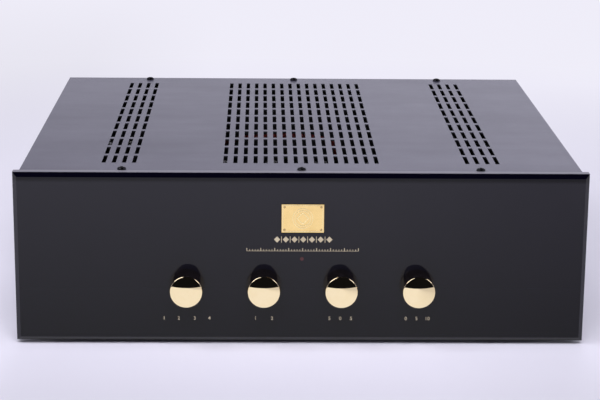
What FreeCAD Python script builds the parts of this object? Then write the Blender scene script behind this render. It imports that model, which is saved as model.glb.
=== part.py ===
import FreeCAD, Part
import math
import os
import re
import Sketcher
from FreeCAD import Placement, Rotation, Vector

# Tube integrated amplifier, in millimetres.
# X runs to the right as seen from the front, Y to the back and Z up.
# The origin is under the middle of the whole part, on the plane that the feet stand on.

os.makedirs("parts", exist_ok=True)
doc = FreeCAD.newDocument("amplifier")

driving = {
    # front panel
    "panelWidth": 447,
    "panelHeight": 136,
    "panelThickness": 10,
    "panelBevel": 3.4,
    "panelRise": 0.4,
    "panelGap": 2.8,
    "nutPocketRadius": 9.5,
    "nutPocketDepth": 6,
    "panelShaftHole": 4,
    # case of folded sheet
    "panelOverhang": 4.5,
    "coverDepth": 389,
    "coverSheet": 1.5,
    "caseSheet": 1.5,
    "flangeWidth": 12,
    "sheetGap": 0.3,
    # slots of the cover: columns run left to right, rows front to back
    "slotLength": 25,
    "slotWidth": 3.3,
    "slotPitch": 8,
    "slotRowPitch": 31,
    "slotRows": 11,
    "middleColumns": 16,
    "sideColumns": 4,
    "sideGroupX": 144,
    # slots of the base, under the tubes
    "baseColumns": 14,
    "baseRows": 2,
    "baseRowPitch": 90,
    # screws of the case
    "screwAcross": 140,
    "screwFrontInset": 4.8,
    "screwBackInset": 7.8,
    "screwRadius": 1.45,
    "screwLength": 8,
    "screwHeadRadius": 3.5,
    "screwHeadHeight": 2,
    "screwHeadRim": 0.5,
    "screwFit": 0.1,
    "screwPlay": 0.25,
    # feet
    "footHeight": 11,
    "footRadius": 14,
    "footTaper": 1.5,
    "footInset": 42,
    "footRecessRadius": 7,
    "footRecessDepth": 5,
    "footScrewRadius": 2,
    "footScrewHead": 3.9,
    "footScrewHeadHeight": 2.4,
    "footScrewTail": 3,
    # screws from inside the case into the panel
    "panelBoltInset": 29,
    "panelBoltLowZ": 32,
    "panelBoltPitch": 82,
    "panelBoltReach": 6,
    # badge
    "badgeWidth": 32.9,
    "badgeHeight": 22.6,
    "badgeThickness": 1,
    "badgeMidX": 0.9,
    "badgeMidZ": 103.4,
    "badgePinInset": 2.2,
    "badgePinRadius": 0.6,
    "badgePinHead": 0.95,
    "badgePinHeadHeight": 0.45,
    "badgePinReach": 3,
    # controls
    "knobMidX": 1,
    "knobPitch": 60.2,
    "knobZ": 48.5,
    "knobReach": 20.6,
    "knobGap": 0.8,
    "knobBaseRadius": 14,
    "knobFaceRadius": 12.6,
    "knobDome": 3,
    "knobEdge": 0.9,
    "knobBoreDepth": 11,
    "shaftRadius": 3,
    "shaftPlay": 0.05,
    "shaftFlat": 1.2,
    "shaftFlatLength": 9,
    "bushRadius": 4.75,
    "bushLength": 5.5,
    "bushNutFlats": 13,
    "bushNutThickness": 2.5,
    "potBore": 4,
    "switchRadius": 14,
    "switchPlate": 5,
    "switchHubRadius": 5,
    "switchWaferRadius": 15.5,
    "switchWafer": 2,
    "switchSpacing": 7,
    "tapeSwitchRadius": 11,
    "potRadius": 12,
    "potGang": 10,
    "potWaist": 2,
    # power light
    "ledX": 0.5,
    "ledZ": 70.5,
    "ledRadius": 1.5,
    "ledFlangeRadius": 1.9,
    "ledFlange": 1.2,
    "ledHolderRadius": 3,
    "ledHolderTail": 7,
    "ledHolderFlange": 4.5,
    # transformers: the core is a stack of E and I plates of standard proportions
    "mainsWidth": 96,
    "mainsStack": 46,
    "mainsInset": 76,
    "mainsY": 112,
    "outputWidth": 78,
    "outputStack": 38,
    "outputInset": 67,
    "outputY": 20,
    "outputPitch": 88,
    "chokeWidth": 66,
    "chokeStack": 30,
    "chokeInset": 69,
    "chokeY": 14,
    "coilOverhang": 12,
    "coilGap": 0.4,
    "coilCorner": 6,
    "strapSheet": 1.2,
    "strapFoot": 12,
    "strapShare": 0.6,
    "strapBoltRadius": 2,
    "strapBoltHead": 3.6,
    "strapBoltHeadHeight": 2.4,
    "strapPlay": 0.3,
    # circuit board and what stands on it
    "boardLeftInset": 123,
    "boardRightInset": 135,
    "boardDepth": 262,
    "boardThickness": 1.6,
    "boardMidY": 0,
    "pillarHeight": 10,
    "pillarRadius": 3,
    "pillarInset": 7,
    "socketRadius": 10.5,
    "socketRim": 12,
    "socketRimHeight": 1.8,
    "socketHeight": 11,
    "socketBore": 2,
    "outputTubeY": 18,
    "outputTubeMargin": 24,
    "outputTubeHeight": 66,
    "signalTubeY": -92,
    "signalTubeMargin": 38,
    "signalTubeHeight": 46,
    "bulbRadius": 10.5,
    "bulbWall": 0.9,
    "bulbTip": 4,
    "electrodeRadius": 6.2,
    "electrodePlay": 0.2,
    "micaRadius": 8.8,
    "micaThickness": 0.8,
    "reservoirRadius": 15,
    "reservoirHeight": 46,
    "reservoirPitch": 37,
    "reservoirY": 96,
    "couplingRadius": 7,
    "couplingLength": 31,
    "couplingMargin": 30,
    "couplingY": -38,
    # wiring inside the case
    "signalLoomRadius": 3.5,
    "outputLoomRadius": 2.5,
    "loomClearance": 10,
    "loomRise": 20,
    # line sockets on the back
    "lineColumns": 6,
    "linePitch": 22,
    "lineInset": 39,
    "lineLowZ": 50,
    "lineRowPitch": 24,
    "lineRadius": 4.15,
    "lineWall": 0.7,
    "lineReach": 11,
    "lineFlangeRadius": 6,
    "lineFlange": 2,
    "lineTail": 8,
    "linePinBore": 1.65,
    "lineInsulatorStep": 3,
    # speaker terminals on the back
    "postFirstX": -30,
    "postPitch": 24,
    "postZ": 62,
    "postReach": 22,
    "postRadius": 3,
    "postBore": 2.02,
    "postBoreDepth": 15,
    "postTail": 9,
    "postTipInset": 2,
    "postCollarRadius": 8,
    "postCollar": 5,
    "postCapRadius": 7.2,
    "postCapGap": 0.3,
    "postCapEdge": 0.8,
    "postFluteRadius": 1.6,
    "postFluteDepth": 0.7,
    "postFlutes": 10,
    # mains inlet with its fuse drawer
    "inletInset": 47,
    "inletZ": 62,
    "inletFlangeWidth": 50,
    "inletFlangeHeight": 32,
    "inletFlange": 2.5,
    "inletBoxWidth": 28,
    "inletBoxHeight": 28.6,
    "inletBoxDepth": 24,
    "cavityWidth": 24.2,
    "cavityHeight": 16.3,
    "cavityRise": 5,
    "cavityDepth": 17,
    "cavityCorner": 4,
    "inletPinWidth": 2,
    "inletPinHeight": 4,
    "inletPinReach": 13,
    "inletPinAcross": 7,
    "inletPinStep": 2,
    "inletScrewAcross": 20,
    "drawerDrop": 8,
    "drawerWidth": 21,
    "drawerHeight": 6.5,
    "drawerDepth": 20,
    "drawerPlay": 0.3,
    "drawerLip": 0.8,
    "drawerFront": 1.6,
    # power switch
    "rockerInset": 101,
    "rockerZ": 62,
    "bezelWidth": 20,
    "bezelHeight": 28,
    "bezelThickness": 2,
    "rockerWidth": 12.8,
    "rockerRadius": 9.4,
    "rockerPlay": 0.3,
    "rockerTilt": 10,
    "rockerEndDepth": 5,
    "rockerBack": 2.5,
    "rockerBoxWall": 1.8,
    "rockerBoxDepth": 13,
    "rockerPinRadius": 1.2,
    "rockerPinLength": 1.1,
    "rockerPinPlay": 0.05,
}

derived = {
    "coverWidth": "panelWidth - 2 * panelOverhang",
    "overallDepth": "knobReach + panelThickness + coverDepth + postReach",
    "panelFrontY": "knobReach - overallDepth / 2",
    "coverFrontY": "panelFrontY + panelThickness",
    "coverBackY": "coverFrontY + coverDepth",
    "coverMidY": "coverFrontY + coverDepth / 2",
    "panelTopZ": "panelGap + panelHeight",
    "coverTopZ": "panelTopZ - panelRise",
    "coverUnderZ": "coverTopZ - coverSheet",
    "baseTopZ": "footHeight + caseSheet",
    "plateInnerY": "coverFrontY + caseSheet",
    "endWidth": "coverWidth - 2 * caseSheet - 2 * sheetGap",
    "panelBoltAcross": "coverWidth / 2 - panelBoltInset",
    "endNotch": "caseSheet + flangeWidth + sheetGap",
    "knobFirstX": "knobMidX - 1.5 * knobPitch",
    "knobLength": "knobReach - knobGap",
    "knobBaseY": "panelFrontY - knobGap",
    "knobDomeRadius": "(knobFaceRadius * knobFaceRadius + knobDome * knobDome) / (2 * knobDome)",
    "shaftBore": "shaftRadius + shaftPlay",
    "shaftLength": "potBore + caseSheet + panelThickness + knobGap + knobBoreDepth - sheetGap",
    "mainsX": "coverWidth / 2 - mainsInset",
    "outputX": "outputInset - coverWidth / 2",
    "chokeX": "coverWidth / 2 - chokeInset",
    "boardWidth": "coverWidth - boardLeftInset - boardRightInset",
    "boardMidX": "(boardLeftInset - boardRightInset) / 2",
    "outputTubePitch": "(boardWidth - 2 * outputTubeMargin) / 3",
    "signalTubePitch": "(boardWidth - 2 * signalTubeMargin) / 2",
    "couplingPitch": "(boardWidth - 2 * couplingMargin) / 3",
    "boardUnderZ": "baseTopZ + pillarHeight",
    "boardTopZ": "boardUnderZ + boardThickness",
    "tubeSeatZ": "boardTopZ + socketHeight",
    "lineFirstX": "lineInset - coverWidth / 2",
    "inletX": "coverWidth / 2 - inletInset",
    "rockerX": "coverWidth / 2 - rockerInset",
    "lineTailY": "coverBackY - caseSheet - lineTail",
    "postTailY": "coverBackY - caseSheet - postTail",
    "postStemLength": "postReach - postTipInset",
    "cavityFloorY": "coverBackY + inletFlange - cavityDepth",
    "drawerZ": "inletZ - drawerDrop",
    "rockerValley": "rockerEndDepth - rockerRadius * 0.85 * tan(rockerTilt)",
    "rockerPivotY": "coverBackY + bezelThickness - rockerValley",
}


def fillSheet():
    sheet = doc.addObject("Spreadsheet::Sheet", "Sizes")
    cells = {name: str(number) for name, number in driving.items()}
    cells.update({name: "=" + formula for name, formula in derived.items()})
    for row, (name, text) in enumerate(cells.items(), start=1):
        sheet.set("A%d" % row, name)
        sheet.set("B%d" % row, text)
        sheet.setAlias("B%d" % row, name)
    doc.recompute()
    return sheet


sheet = fillSheet()
nodes = {}


def size(name):
    return float(getattr(sheet, name))


# A formula names the sheet's sizes plainly; here each gets the sheet's name before it.
def tied(formula):
    def withSheet(word):
        known = word.group() in driving or word.group() in derived
        return "Sizes." + word.group() if known else word.group()

    return re.sub(r"[A-Za-z]\w*", withSheet, formula)


# The way that a piece's own Z axis points once it is placed
facings = {
    "up": Rotation(),
    "down": Rotation(Vector(1, 0, 0), 180),
    "back": Rotation(Vector(1, 0, 0), -90),
    "front": Rotation(Vector(1, 0, 0), 90),
}


def place(item, x, y, z, facing="up"):
    item.Placement = Placement(Vector(), facings[facing])
    for axis, formula in zip("xyz", (x, y, z)):
        item.setExpression("Placement.Base." + axis, tied(formula))


def newBody(label):
    body = doc.addObject("PartDesign::Body", label)
    body.Label = label
    return body


def originPart(body, role):
    return next(part for part in body.Origin.OriginFeatures if part.Role == role)


# A sketch parallel to one of the body's planes, at a distance along the axis square to it
def sketchAt(body, name, plane, at="0"):
    sketch = body.newObject("Sketcher::SketchObject", name)
    sketch.AttachmentSupport = [(originPart(body, plane + "_Plane"), "")]
    sketch.MapMode = "FlatFace"
    along = "-(%s)" if plane == "XZ" else "%s"
    sketch.setExpression("AttachmentOffset.Base.z", tied(along % at))
    return sketch


def tiePoint(sketch, edge, point, across, up):
    for kind, formula in (("DistanceX", across), ("DistanceY", up)):
        number = sketch.addConstraint(Sketcher.Constraint(kind, -1, 1, edge, point, 1.0))
        sketch.setExpression("Constraints[%d]" % number, tied(formula))


# A closed outline of straight edges through corners that are given as formulas
def outline(sketch, corners):
    first = sketch.GeometryCount
    count = len(corners)
    turn = Rotation(Vector(0, 0, 1), 360 / count)
    start = Vector(10, 0, 0)
    for _ in corners:
        end = turn.multVec(start)
        sketch.addGeometry(Part.LineSegment(start, end), False)
        start = end
    for number, (across, up) in enumerate(corners):
        edge = first + number
        following = first + (number + 1) % count
        sketch.addConstraint(Sketcher.Constraint("Coincident", edge, 2, following, 1))
        tiePoint(sketch, edge, 1, across, up)
    return sketch


def rectangle(sketch, left, low, right, high):
    return outline(sketch, [(left, low), (right, low), (right, high), (left, high)])


def circles(sketch, spots, radius):
    for across, up in spots:
        edge = sketch.addGeometry(Part.Circle(Vector(), Vector(0, 0, 1), 1), False)
        tiePoint(sketch, edge, 3, across, up)
        number = sketch.addConstraint(Sketcher.Constraint("Radius", edge, 1.0))
        sketch.setExpression("Constraints[%d]" % number, tied(radius))
    return sketch


# Pads and pockets go along the positive axis that the sketch is square to, or along the negative one.
def facesNegative(sketch):
    return sketch.AttachmentSupport[0][0].Role == "XZ_Plane"


def pad(body, sketch, length, positive=True):
    feature = body.newObject("PartDesign::Pad", sketch.Name + "Pad")
    feature.Profile = sketch
    feature.setExpression("Length", tied(length))
    feature.Reversed = facesNegative(sketch) == positive
    doc.recompute()
    return feature


def pocket(body, sketch, depth, positive=True):
    before = body.Shape.Volume
    feature = body.newObject("PartDesign::Pocket", sketch.Name + "Cut")
    feature.Profile = sketch
    feature.setExpression("Length", tied(depth))
    feature.Reversed = facesNegative(sketch) != positive
    doc.recompute()
    if body.Shape.Volume >= before:
        raise RuntimeError(feature.Name + " cuts nothing")
    return feature


# A turned piece: its outline is a list of (radius, height) formulas round its own Z axis.
def turned(label, corners, x, y, z, facing="up"):
    body = newBody(label)
    sketch = outline(sketchAt(body, label + "Outline", "XZ"), corners)
    spin(body, sketch)
    place(body, x, y, z, facing)
    return body


def spin(body, sketch):
    feature = body.newObject("PartDesign::Revolution", sketch.Name + "Spin")
    feature.Profile = sketch
    feature.ReferenceAxis = (sketch, ["V_Axis"])
    feature.Angle = 360
    doc.recompute()
    return feature


def run(body, name, axis, count, pitch):
    pattern = body.newObject("PartDesign::LinearPattern", name)
    pattern.Direction = (originPart(body, axis), [""])
    pattern.Mode = "Spacing"
    pattern.setExpression("Offset", tied(pitch))
    pattern.setExpression("Occurrences", tied(count))
    return pattern


# Copies of the body's last feature in columns along its X axis and rows along its Y axis
def repeat(body, columns, columnPitch, rows="1", rowPitch="1"):
    feature = body.Tip
    if rows == "1":
        pattern = run(body, body.Name + "Row", "X_Axis", columns, columnPitch)
        pattern.Originals = [feature]
    else:
        pattern = body.newObject("PartDesign::MultiTransform", body.Name + "Grid")
        pattern.Originals = [feature]
        pattern.Transformations = [
            run(body, body.Name + "Columns", "X_Axis", columns, columnPitch),
            run(body, body.Name + "Rows", "Y_Axis", rows, rowPitch),
        ]
    body.Tip = pattern
    doc.recompute()
    return body


def block(name, sides, corner):
    item = doc.addObject("Part::Box", name)
    for side, formula in zip(("Length", "Width", "Height"), sides):
        item.setExpression(side, tied(formula))
    place(item, *corner)
    return item


def cut(name, base, *tools):
    for number, tool in enumerate(tools):
        item = doc.addObject("Part::Cut", "%s%d" % (name, number))
        item.Base = base
        item.Tool = tool
        base = item
    doc.recompute()
    return base


def together(name, *items):
    item = doc.addObject("Part::Compound", name)
    item.Links = list(items)
    return item


def keep(label, item):
    item.Label = label
    nodes[label] = item
    return item


# Front panel

knobColumns = ["knobFirstX + %d * knobPitch" % number for number in range(4)]
panelBoltSpots = [
    ("%s * panelBoltAcross" % side, "panelBoltLowZ + %d * panelBoltPitch" % row)
    for side in (-1, 1)
    for row in (0, 1)
]
badgePinSpots = [
    (
        "badgeMidX + %s * (badgeWidth / 2 - badgePinInset)" % side,
        "badgeMidZ + %s * (badgeHeight / 2 - badgePinInset)" % row,
    )
    for side in (-1, 1)
    for row in (-1, 1)
]


def frontPanel():
    body = newBody("front_panel")
    slab = sketchAt(body, "panelSlab", "XZ", "coverFrontY")
    rectangle(slab, "-panelWidth / 2", "panelGap", "panelWidth / 2", "panelTopZ")
    solid = pad(body, slab, "panelThickness", positive=False)
    front = [
        "Edge%d" % (number + 1)
        for number, edge in enumerate(solid.Shape.Edges)
        if abs(edge.BoundBox.YMax - size("panelFrontY")) < 0.01
    ]
    bevel = body.newObject("PartDesign::Chamfer", "panelFrontBevel")
    bevel.Base = (solid, front)
    bevel.setExpression("Size", tied("panelBevel"))
    doc.recompute()

    knobSpots = [(x, "knobZ") for x in knobColumns]
    shaftHoles = circles(sketchAt(body, "panelShaftHoles", "XZ", "coverFrontY"), knobSpots, "panelShaftHole")
    pocket(body, shaftHoles, "panelThickness", positive=False)
    nutPockets = circles(sketchAt(body, "panelNutPockets", "XZ", "coverFrontY"), knobSpots, "nutPocketRadius")
    pocket(body, nutPockets, "nutPocketDepth", positive=False)

    ledSpot = [("ledX", "ledZ")]
    lens = circles(sketchAt(body, "panelLensHole", "XZ", "coverFrontY"), ledSpot, "ledRadius + shaftPlay")
    pocket(body, lens, "panelThickness", positive=False)
    seat = circles(
        sketchAt(body, "panelHolderSeat", "XZ", "coverFrontY"), ledSpot, "ledHolderRadius + sheetGap"
    )
    pocket(body, seat, "nutPocketDepth", positive=False)

    boltHoles = circles(
        sketchAt(body, "panelBoltHoles", "XZ", "coverFrontY"), panelBoltSpots, "screwRadius + screwFit"
    )
    pocket(body, boltHoles, "panelBoltReach + sheetGap", positive=False)
    pinHoles = circles(
        sketchAt(body, "panelPinHoles", "XZ", "panelFrontY"), badgePinSpots, "badgePinRadius + screwFit"
    )
    pocket(body, pinHoles, "badgePinReach")
    return body


def badgePlate():
    body = newBody("badge_plate")
    slab = sketchAt(body, "badgeSlab", "XZ", "panelFrontY")
    rectangle(
        slab,
        "badgeMidX - badgeWidth / 2",
        "badgeMidZ - badgeHeight / 2",
        "badgeMidX + badgeWidth / 2",
        "badgeMidZ + badgeHeight / 2",
    )
    pad(body, slab, "badgeThickness", positive=False)
    holes = circles(
        sketchAt(body, "badgePinHoles", "XZ", "panelFrontY"), badgePinSpots, "badgePinRadius + screwFit"
    )
    pocket(body, holes, "badgeThickness", positive=False)
    return body


def badgePins():
    body = turned(
        "badge_pins",
        [
            ("0", "sheetGap - badgePinReach"),
            ("badgePinRadius", "sheetGap - badgePinReach"),
            ("badgePinRadius", "badgeThickness"),
            ("badgePinHead", "badgeThickness"),
            ("badgePinHead * 0.6", "badgeThickness + badgePinHeadHeight"),
            ("0", "badgeThickness + badgePinHeadHeight"),
        ],
        badgePinSpots[0][0],
        "panelFrontY",
        badgePinSpots[0][1],
        "front",
    )
    return repeat(body, "2", "badgeWidth - 2 * badgePinInset", "2", "badgeHeight - 2 * badgePinInset")


# Case: two end plates, two sides, a base and a cover

coverScrewSpots = [
    ("%d * screwAcross" % column, row)
    for column in (-1, 0, 1)
    for row in ("coverFrontY + screwFrontInset", "coverBackY - screwBackInset")
]
screwRowPitch = "coverDepth - screwFrontInset - screwBackInset"


# An end plate is folded to a channel: a web with a flange along its top and its bottom edge.
def endPlate(label, outerY, inward):
    body = newBody(label)
    web = "%s + %d * caseSheet" % (outerY, inward)
    tip = "%s + %d * flangeWidth" % (outerY, inward)
    channel = outline(
        sketchAt(body, label + "Channel", "YZ", "-endWidth / 2"),
        [
            (outerY, "baseTopZ"),
            (tip, "baseTopZ"),
            (tip, "baseTopZ + caseSheet"),
            (web, "baseTopZ + caseSheet"),
            (web, "coverUnderZ - caseSheet"),
            (tip, "coverUnderZ - caseSheet"),
            (tip, "coverUnderZ"),
            (outerY, "coverUnderZ"),
        ],
    )
    pad(body, channel, "endWidth")
    spots = [spot for spot in coverScrewSpots if spot[1].startswith(outerY)]
    screws = circles(sketchAt(body, label + "ScrewHoles", "XY", "baseTopZ"), spots, "screwRadius + screwFit")
    pocket(body, screws, "coverUnderZ - baseTopZ")
    return body


def frontPlate():
    body = endPlate("front_plate", "coverFrontY", 1)
    bushes = circles(
        sketchAt(body, "bushHoles", "XZ", "coverFrontY"),
        [(x, "knobZ") for x in knobColumns],
        "bushRadius + screwFit",
    )
    pocket(body, bushes, "caseSheet")
    bolts = circles(
        sketchAt(body, "frontBoltHoles", "XZ", "coverFrontY"), panelBoltSpots, "screwRadius + screwPlay"
    )
    pocket(body, bolts, "caseSheet")
    holder = circles(
        sketchAt(body, "holderHole", "XZ", "coverFrontY"), [("ledX", "ledZ")], "ledHolderRadius + screwFit"
    )
    pocket(body, holder, "caseSheet")
    return body


inletScrewSpots = [("inletX - inletScrewAcross", "inletZ"), ("inletX + inletScrewAcross", "inletZ")]


def rearPlate():
    body = endPlate("rear_plate", "coverBackY", -1)
    inside = "coverBackY - caseSheet"
    lineSpots = [
        ("lineFirstX + %d * linePitch" % column, "lineLowZ + %d * lineRowPitch" % row)
        for column in range(int(size("lineColumns")))
        for row in (0, 1)
    ]
    lines = circles(sketchAt(body, "lineHoles", "XZ", inside), lineSpots, "lineRadius + screwFit")
    pocket(body, lines, "caseSheet")
    postSpots = [("postFirstX + %d * postPitch" % number, "postZ") for number in range(4)]
    posts = circles(sketchAt(body, "postHoles", "XZ", inside), postSpots, "postRadius + screwFit")
    pocket(body, posts, "caseSheet")
    screws = circles(
        sketchAt(body, "inletScrewHoles", "XZ", inside), inletScrewSpots, "screwRadius + screwFit"
    )
    pocket(body, screws, "caseSheet")
    inlet = rectangle(
        sketchAt(body, "inletCutout", "XZ", inside),
        "inletX - inletBoxWidth / 2 - sheetGap",
        "inletZ - inletBoxHeight / 2 - sheetGap",
        "inletX + inletBoxWidth / 2 + sheetGap",
        "inletZ + inletBoxHeight / 2 + sheetGap",
    )
    pocket(body, inlet, "caseSheet")
    rocker = rectangle(
        sketchAt(body, "rockerCutout", "XZ", inside),
        "rockerX - rockerWidth / 2 - rockerPlay - rockerBoxWall - sheetGap",
        "rockerZ - rockerRadius - rockerPlay - rockerBoxWall - sheetGap",
        "rockerX + rockerWidth / 2 + rockerPlay + rockerBoxWall + sheetGap",
        "rockerZ + rockerRadius + rockerPlay + rockerBoxWall + sheetGap",
    )
    pocket(body, rocker, "caseSheet")
    return body


# A side is a channel too, notched at both ends of its flanges where the end plates' flanges lie.
def sidePanel(label, side):
    body = newBody(label)
    outer = "%d * coverWidth / 2" % side
    web = "%d * (coverWidth / 2 - caseSheet)" % side
    tip = "%d * (coverWidth / 2 - flangeWidth)" % side
    channel = outline(
        sketchAt(body, label + "Channel", "XZ", "coverFrontY"),
        [
            (outer, "baseTopZ"),
            (tip, "baseTopZ"),
            (tip, "baseTopZ + caseSheet"),
            (web, "baseTopZ + caseSheet"),
            (web, "coverUnderZ - caseSheet"),
            (tip, "coverUnderZ - caseSheet"),
            (tip, "coverUnderZ"),
            (outer, "coverUnderZ"),
        ],
    )
    pad(body, channel, "coverDepth")
    notches = sketchAt(body, label + "Notches", "XY", "baseTopZ")
    rectangle(notches, web, "coverFrontY", tip, "coverFrontY + endNotch")
    rectangle(notches, web, "coverBackY - endNotch", tip, "coverBackY")
    pocket(body, notches, "coverUnderZ - baseTopZ")
    return body


def rectangleWire(x, y, width, depth):
    left, right = x - width / 2, x + width / 2
    low, high = y - depth / 2, y + depth / 2
    corners = [(left, low), (right, low), (right, high), (left, high), (left, low)]
    return Part.makePolygon([Vector(across, up, 0) for across, up in corners])


def circleWire(x, y, radius):
    return Part.Wire(Part.makeCircle(radius, Vector(x, y, 0)))


def slotWires(midX, midY, columns, rows, rowPitch):
    pitch = size("slotPitch")
    return [
        rectangleWire(
            midX + (column - (columns - 1) / 2) * pitch,
            midY + (row - (rows - 1) / 2) * rowPitch,
            size("slotWidth"),
            size("slotLength"),
        )
        for column in range(columns)
        for row in range(rows)
    ]


# A flat sheet of the cover's outline, with its slots and holes
def flatSheet(label, openings, underZ, thickness):
    edge = rectangleWire(0, size("coverMidY"), size("coverWidth"), size("coverDepth"))
    face = doc.addObject("Part::Feature", label + "_outline")
    face.Shape = Part.makeFace([edge] + openings, "Part::FaceMakerBullseye")
    place(face, "0", "0", underZ)
    plate = doc.addObject("Part::Extrusion", label)
    plate.Base = face
    plate.DirMode = "Custom"
    plate.Dir = Vector(0, 0, 1)
    plate.setExpression("LengthFwd", tied(thickness))
    plate.Solid = True
    doc.recompute()
    return plate


def caseScrewWires(radius):
    across = size("screwAcross")
    rows = (size("coverFrontY") + size("screwFrontInset"), size("coverBackY") - size("screwBackInset"))
    return [circleWire(column * across, y, radius) for column in (-1, 0, 1) for y in rows]


def topCover():
    rows = int(size("slotRows"))
    sideColumns = int(size("sideColumns"))
    openings = caseScrewWires(size("screwRadius") + size("screwPlay"))
    for x, columns in (
        (-size("sideGroupX"), sideColumns),
        (0, int(size("middleColumns"))),
        (size("sideGroupX"), sideColumns),
    ):
        openings += slotWires(x, size("coverMidY"), columns, rows, size("slotRowPitch"))
    return flatSheet("top_cover", openings, "coverUnderZ", "coverSheet")


def footSpots():
    x = size("coverWidth") / 2 - size("footInset")
    rows = (size("coverFrontY") + size("footInset"), size("coverBackY") - size("footInset"))
    return [(side * x, y) for side in (-1, 1) for y in rows]


def basePlate():
    openings = caseScrewWires(size("screwRadius") + size("screwPlay"))
    openings += slotWires(
        0, size("boardMidY"), int(size("baseColumns")), int(size("baseRows")), size("baseRowPitch")
    )
    footHole = size("footScrewRadius") + size("screwFit")
    openings += [circleWire(x, y, footHole) for x, y in footSpots()]
    strapHole = size("strapBoltRadius") + size("screwFit")
    for transformer in transformers.values():
        reach = size(transformer["width"]) / 2 + size("strapSheet") + size("strapFoot") / 2
        for x in (size(transformer["x"]) - reach, size(transformer["x"]) + reach):
            openings += [circleWire(x, y, strapHole) for y in transformerRows(transformer)]
    return flatSheet("base_plate", openings, "footHeight", "caseSheet")


# Screws and feet


def domeScrew(label, x, y, z, facing):
    return turned(
        label,
        [
            ("0", "-screwLength"),
            ("screwRadius", "-screwLength"),
            ("screwRadius", "0"),
            ("screwHeadRadius", "0"),
            ("screwHeadRadius", "screwHeadRim"),
            ("screwHeadRadius * 0.8", "screwHeadHeight * 0.75"),
            ("screwHeadRadius * 0.45", "screwHeadHeight"),
            ("0", "screwHeadHeight"),
        ],
        x,
        y,
        z,
        facing,
    )


def coverScrews():
    body = domeScrew("cover_screws", "-screwAcross", "coverFrontY + screwFrontInset", "coverTopZ", "up")
    return repeat(body, "3", "screwAcross", "2", screwRowPitch)


def caseScrews():
    base = domeScrew("base_screws", "-screwAcross", "coverBackY - screwBackInset", "footHeight", "down")
    repeat(base, "3", "screwAcross", "2", screwRowPitch)
    inletX, inletZ = inletScrewSpots[0]
    inlet = domeScrew("inlet_screws", inletX, "coverBackY + inletFlange", inletZ, "back")
    repeat(inlet, "2", "2 * inletScrewAcross")
    return together("case_screws", base, inlet)


def panelBolts():
    x, z = panelBoltSpots[0]
    body = turned(
        "panel_bolts",
        [
            ("0", "-caseSheet - panelBoltReach"),
            ("screwRadius", "-caseSheet - panelBoltReach"),
            ("screwRadius", "0"),
            ("screwHeadRadius", "0"),
            ("screwHeadRadius", "screwHeadRim"),
            ("screwHeadRadius * 0.7", "screwHeadHeight"),
            ("0", "screwHeadHeight"),
        ],
        x,
        "plateInnerY",
        "%s + panelBoltPitch" % z,
        "back",
    )
    return repeat(body, "2", "2 * panelBoltAcross", "2", "panelBoltPitch")


def feet():
    body = turned(
        "feet",
        [
            ("footScrewRadius + screwFit", "footRecessDepth"),
            ("footRecessRadius", "footRecessDepth"),
            ("footRecessRadius", "0"),
            ("footRadius - footTaper", "0"),
            ("footRadius", "footHeight * 0.3"),
            ("footRadius", "footHeight"),
            ("footScrewRadius + screwFit", "footHeight"),
        ],
        "footInset - coverWidth / 2",
        "coverFrontY + footInset",
        "0",
    )
    return repeat(body, "2", "coverWidth - 2 * footInset", "2", "coverDepth - 2 * footInset")


def footScrews():
    body = turned(
        "foot_screws",
        [
            ("0", "footRecessDepth - footScrewHeadHeight"),
            ("footScrewHead * 0.8", "footRecessDepth - footScrewHeadHeight"),
            ("footScrewHead", "footRecessDepth - footScrewHeadHeight * 0.5"),
            ("footScrewHead", "footRecessDepth"),
            ("footScrewRadius", "footRecessDepth"),
            ("footScrewRadius", "baseTopZ + footScrewTail"),
            ("0", "baseTopZ + footScrewTail"),
        ],
        "footInset - coverWidth / 2",
        "coverFrontY + footInset",
        "0",
    )
    return repeat(body, "2", "coverWidth - 2 * footInset", "2", "coverDepth - 2 * footInset")


# Controls

controls = {"input": 0, "tape": 1, "balance": 2, "volume": 3}


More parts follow.
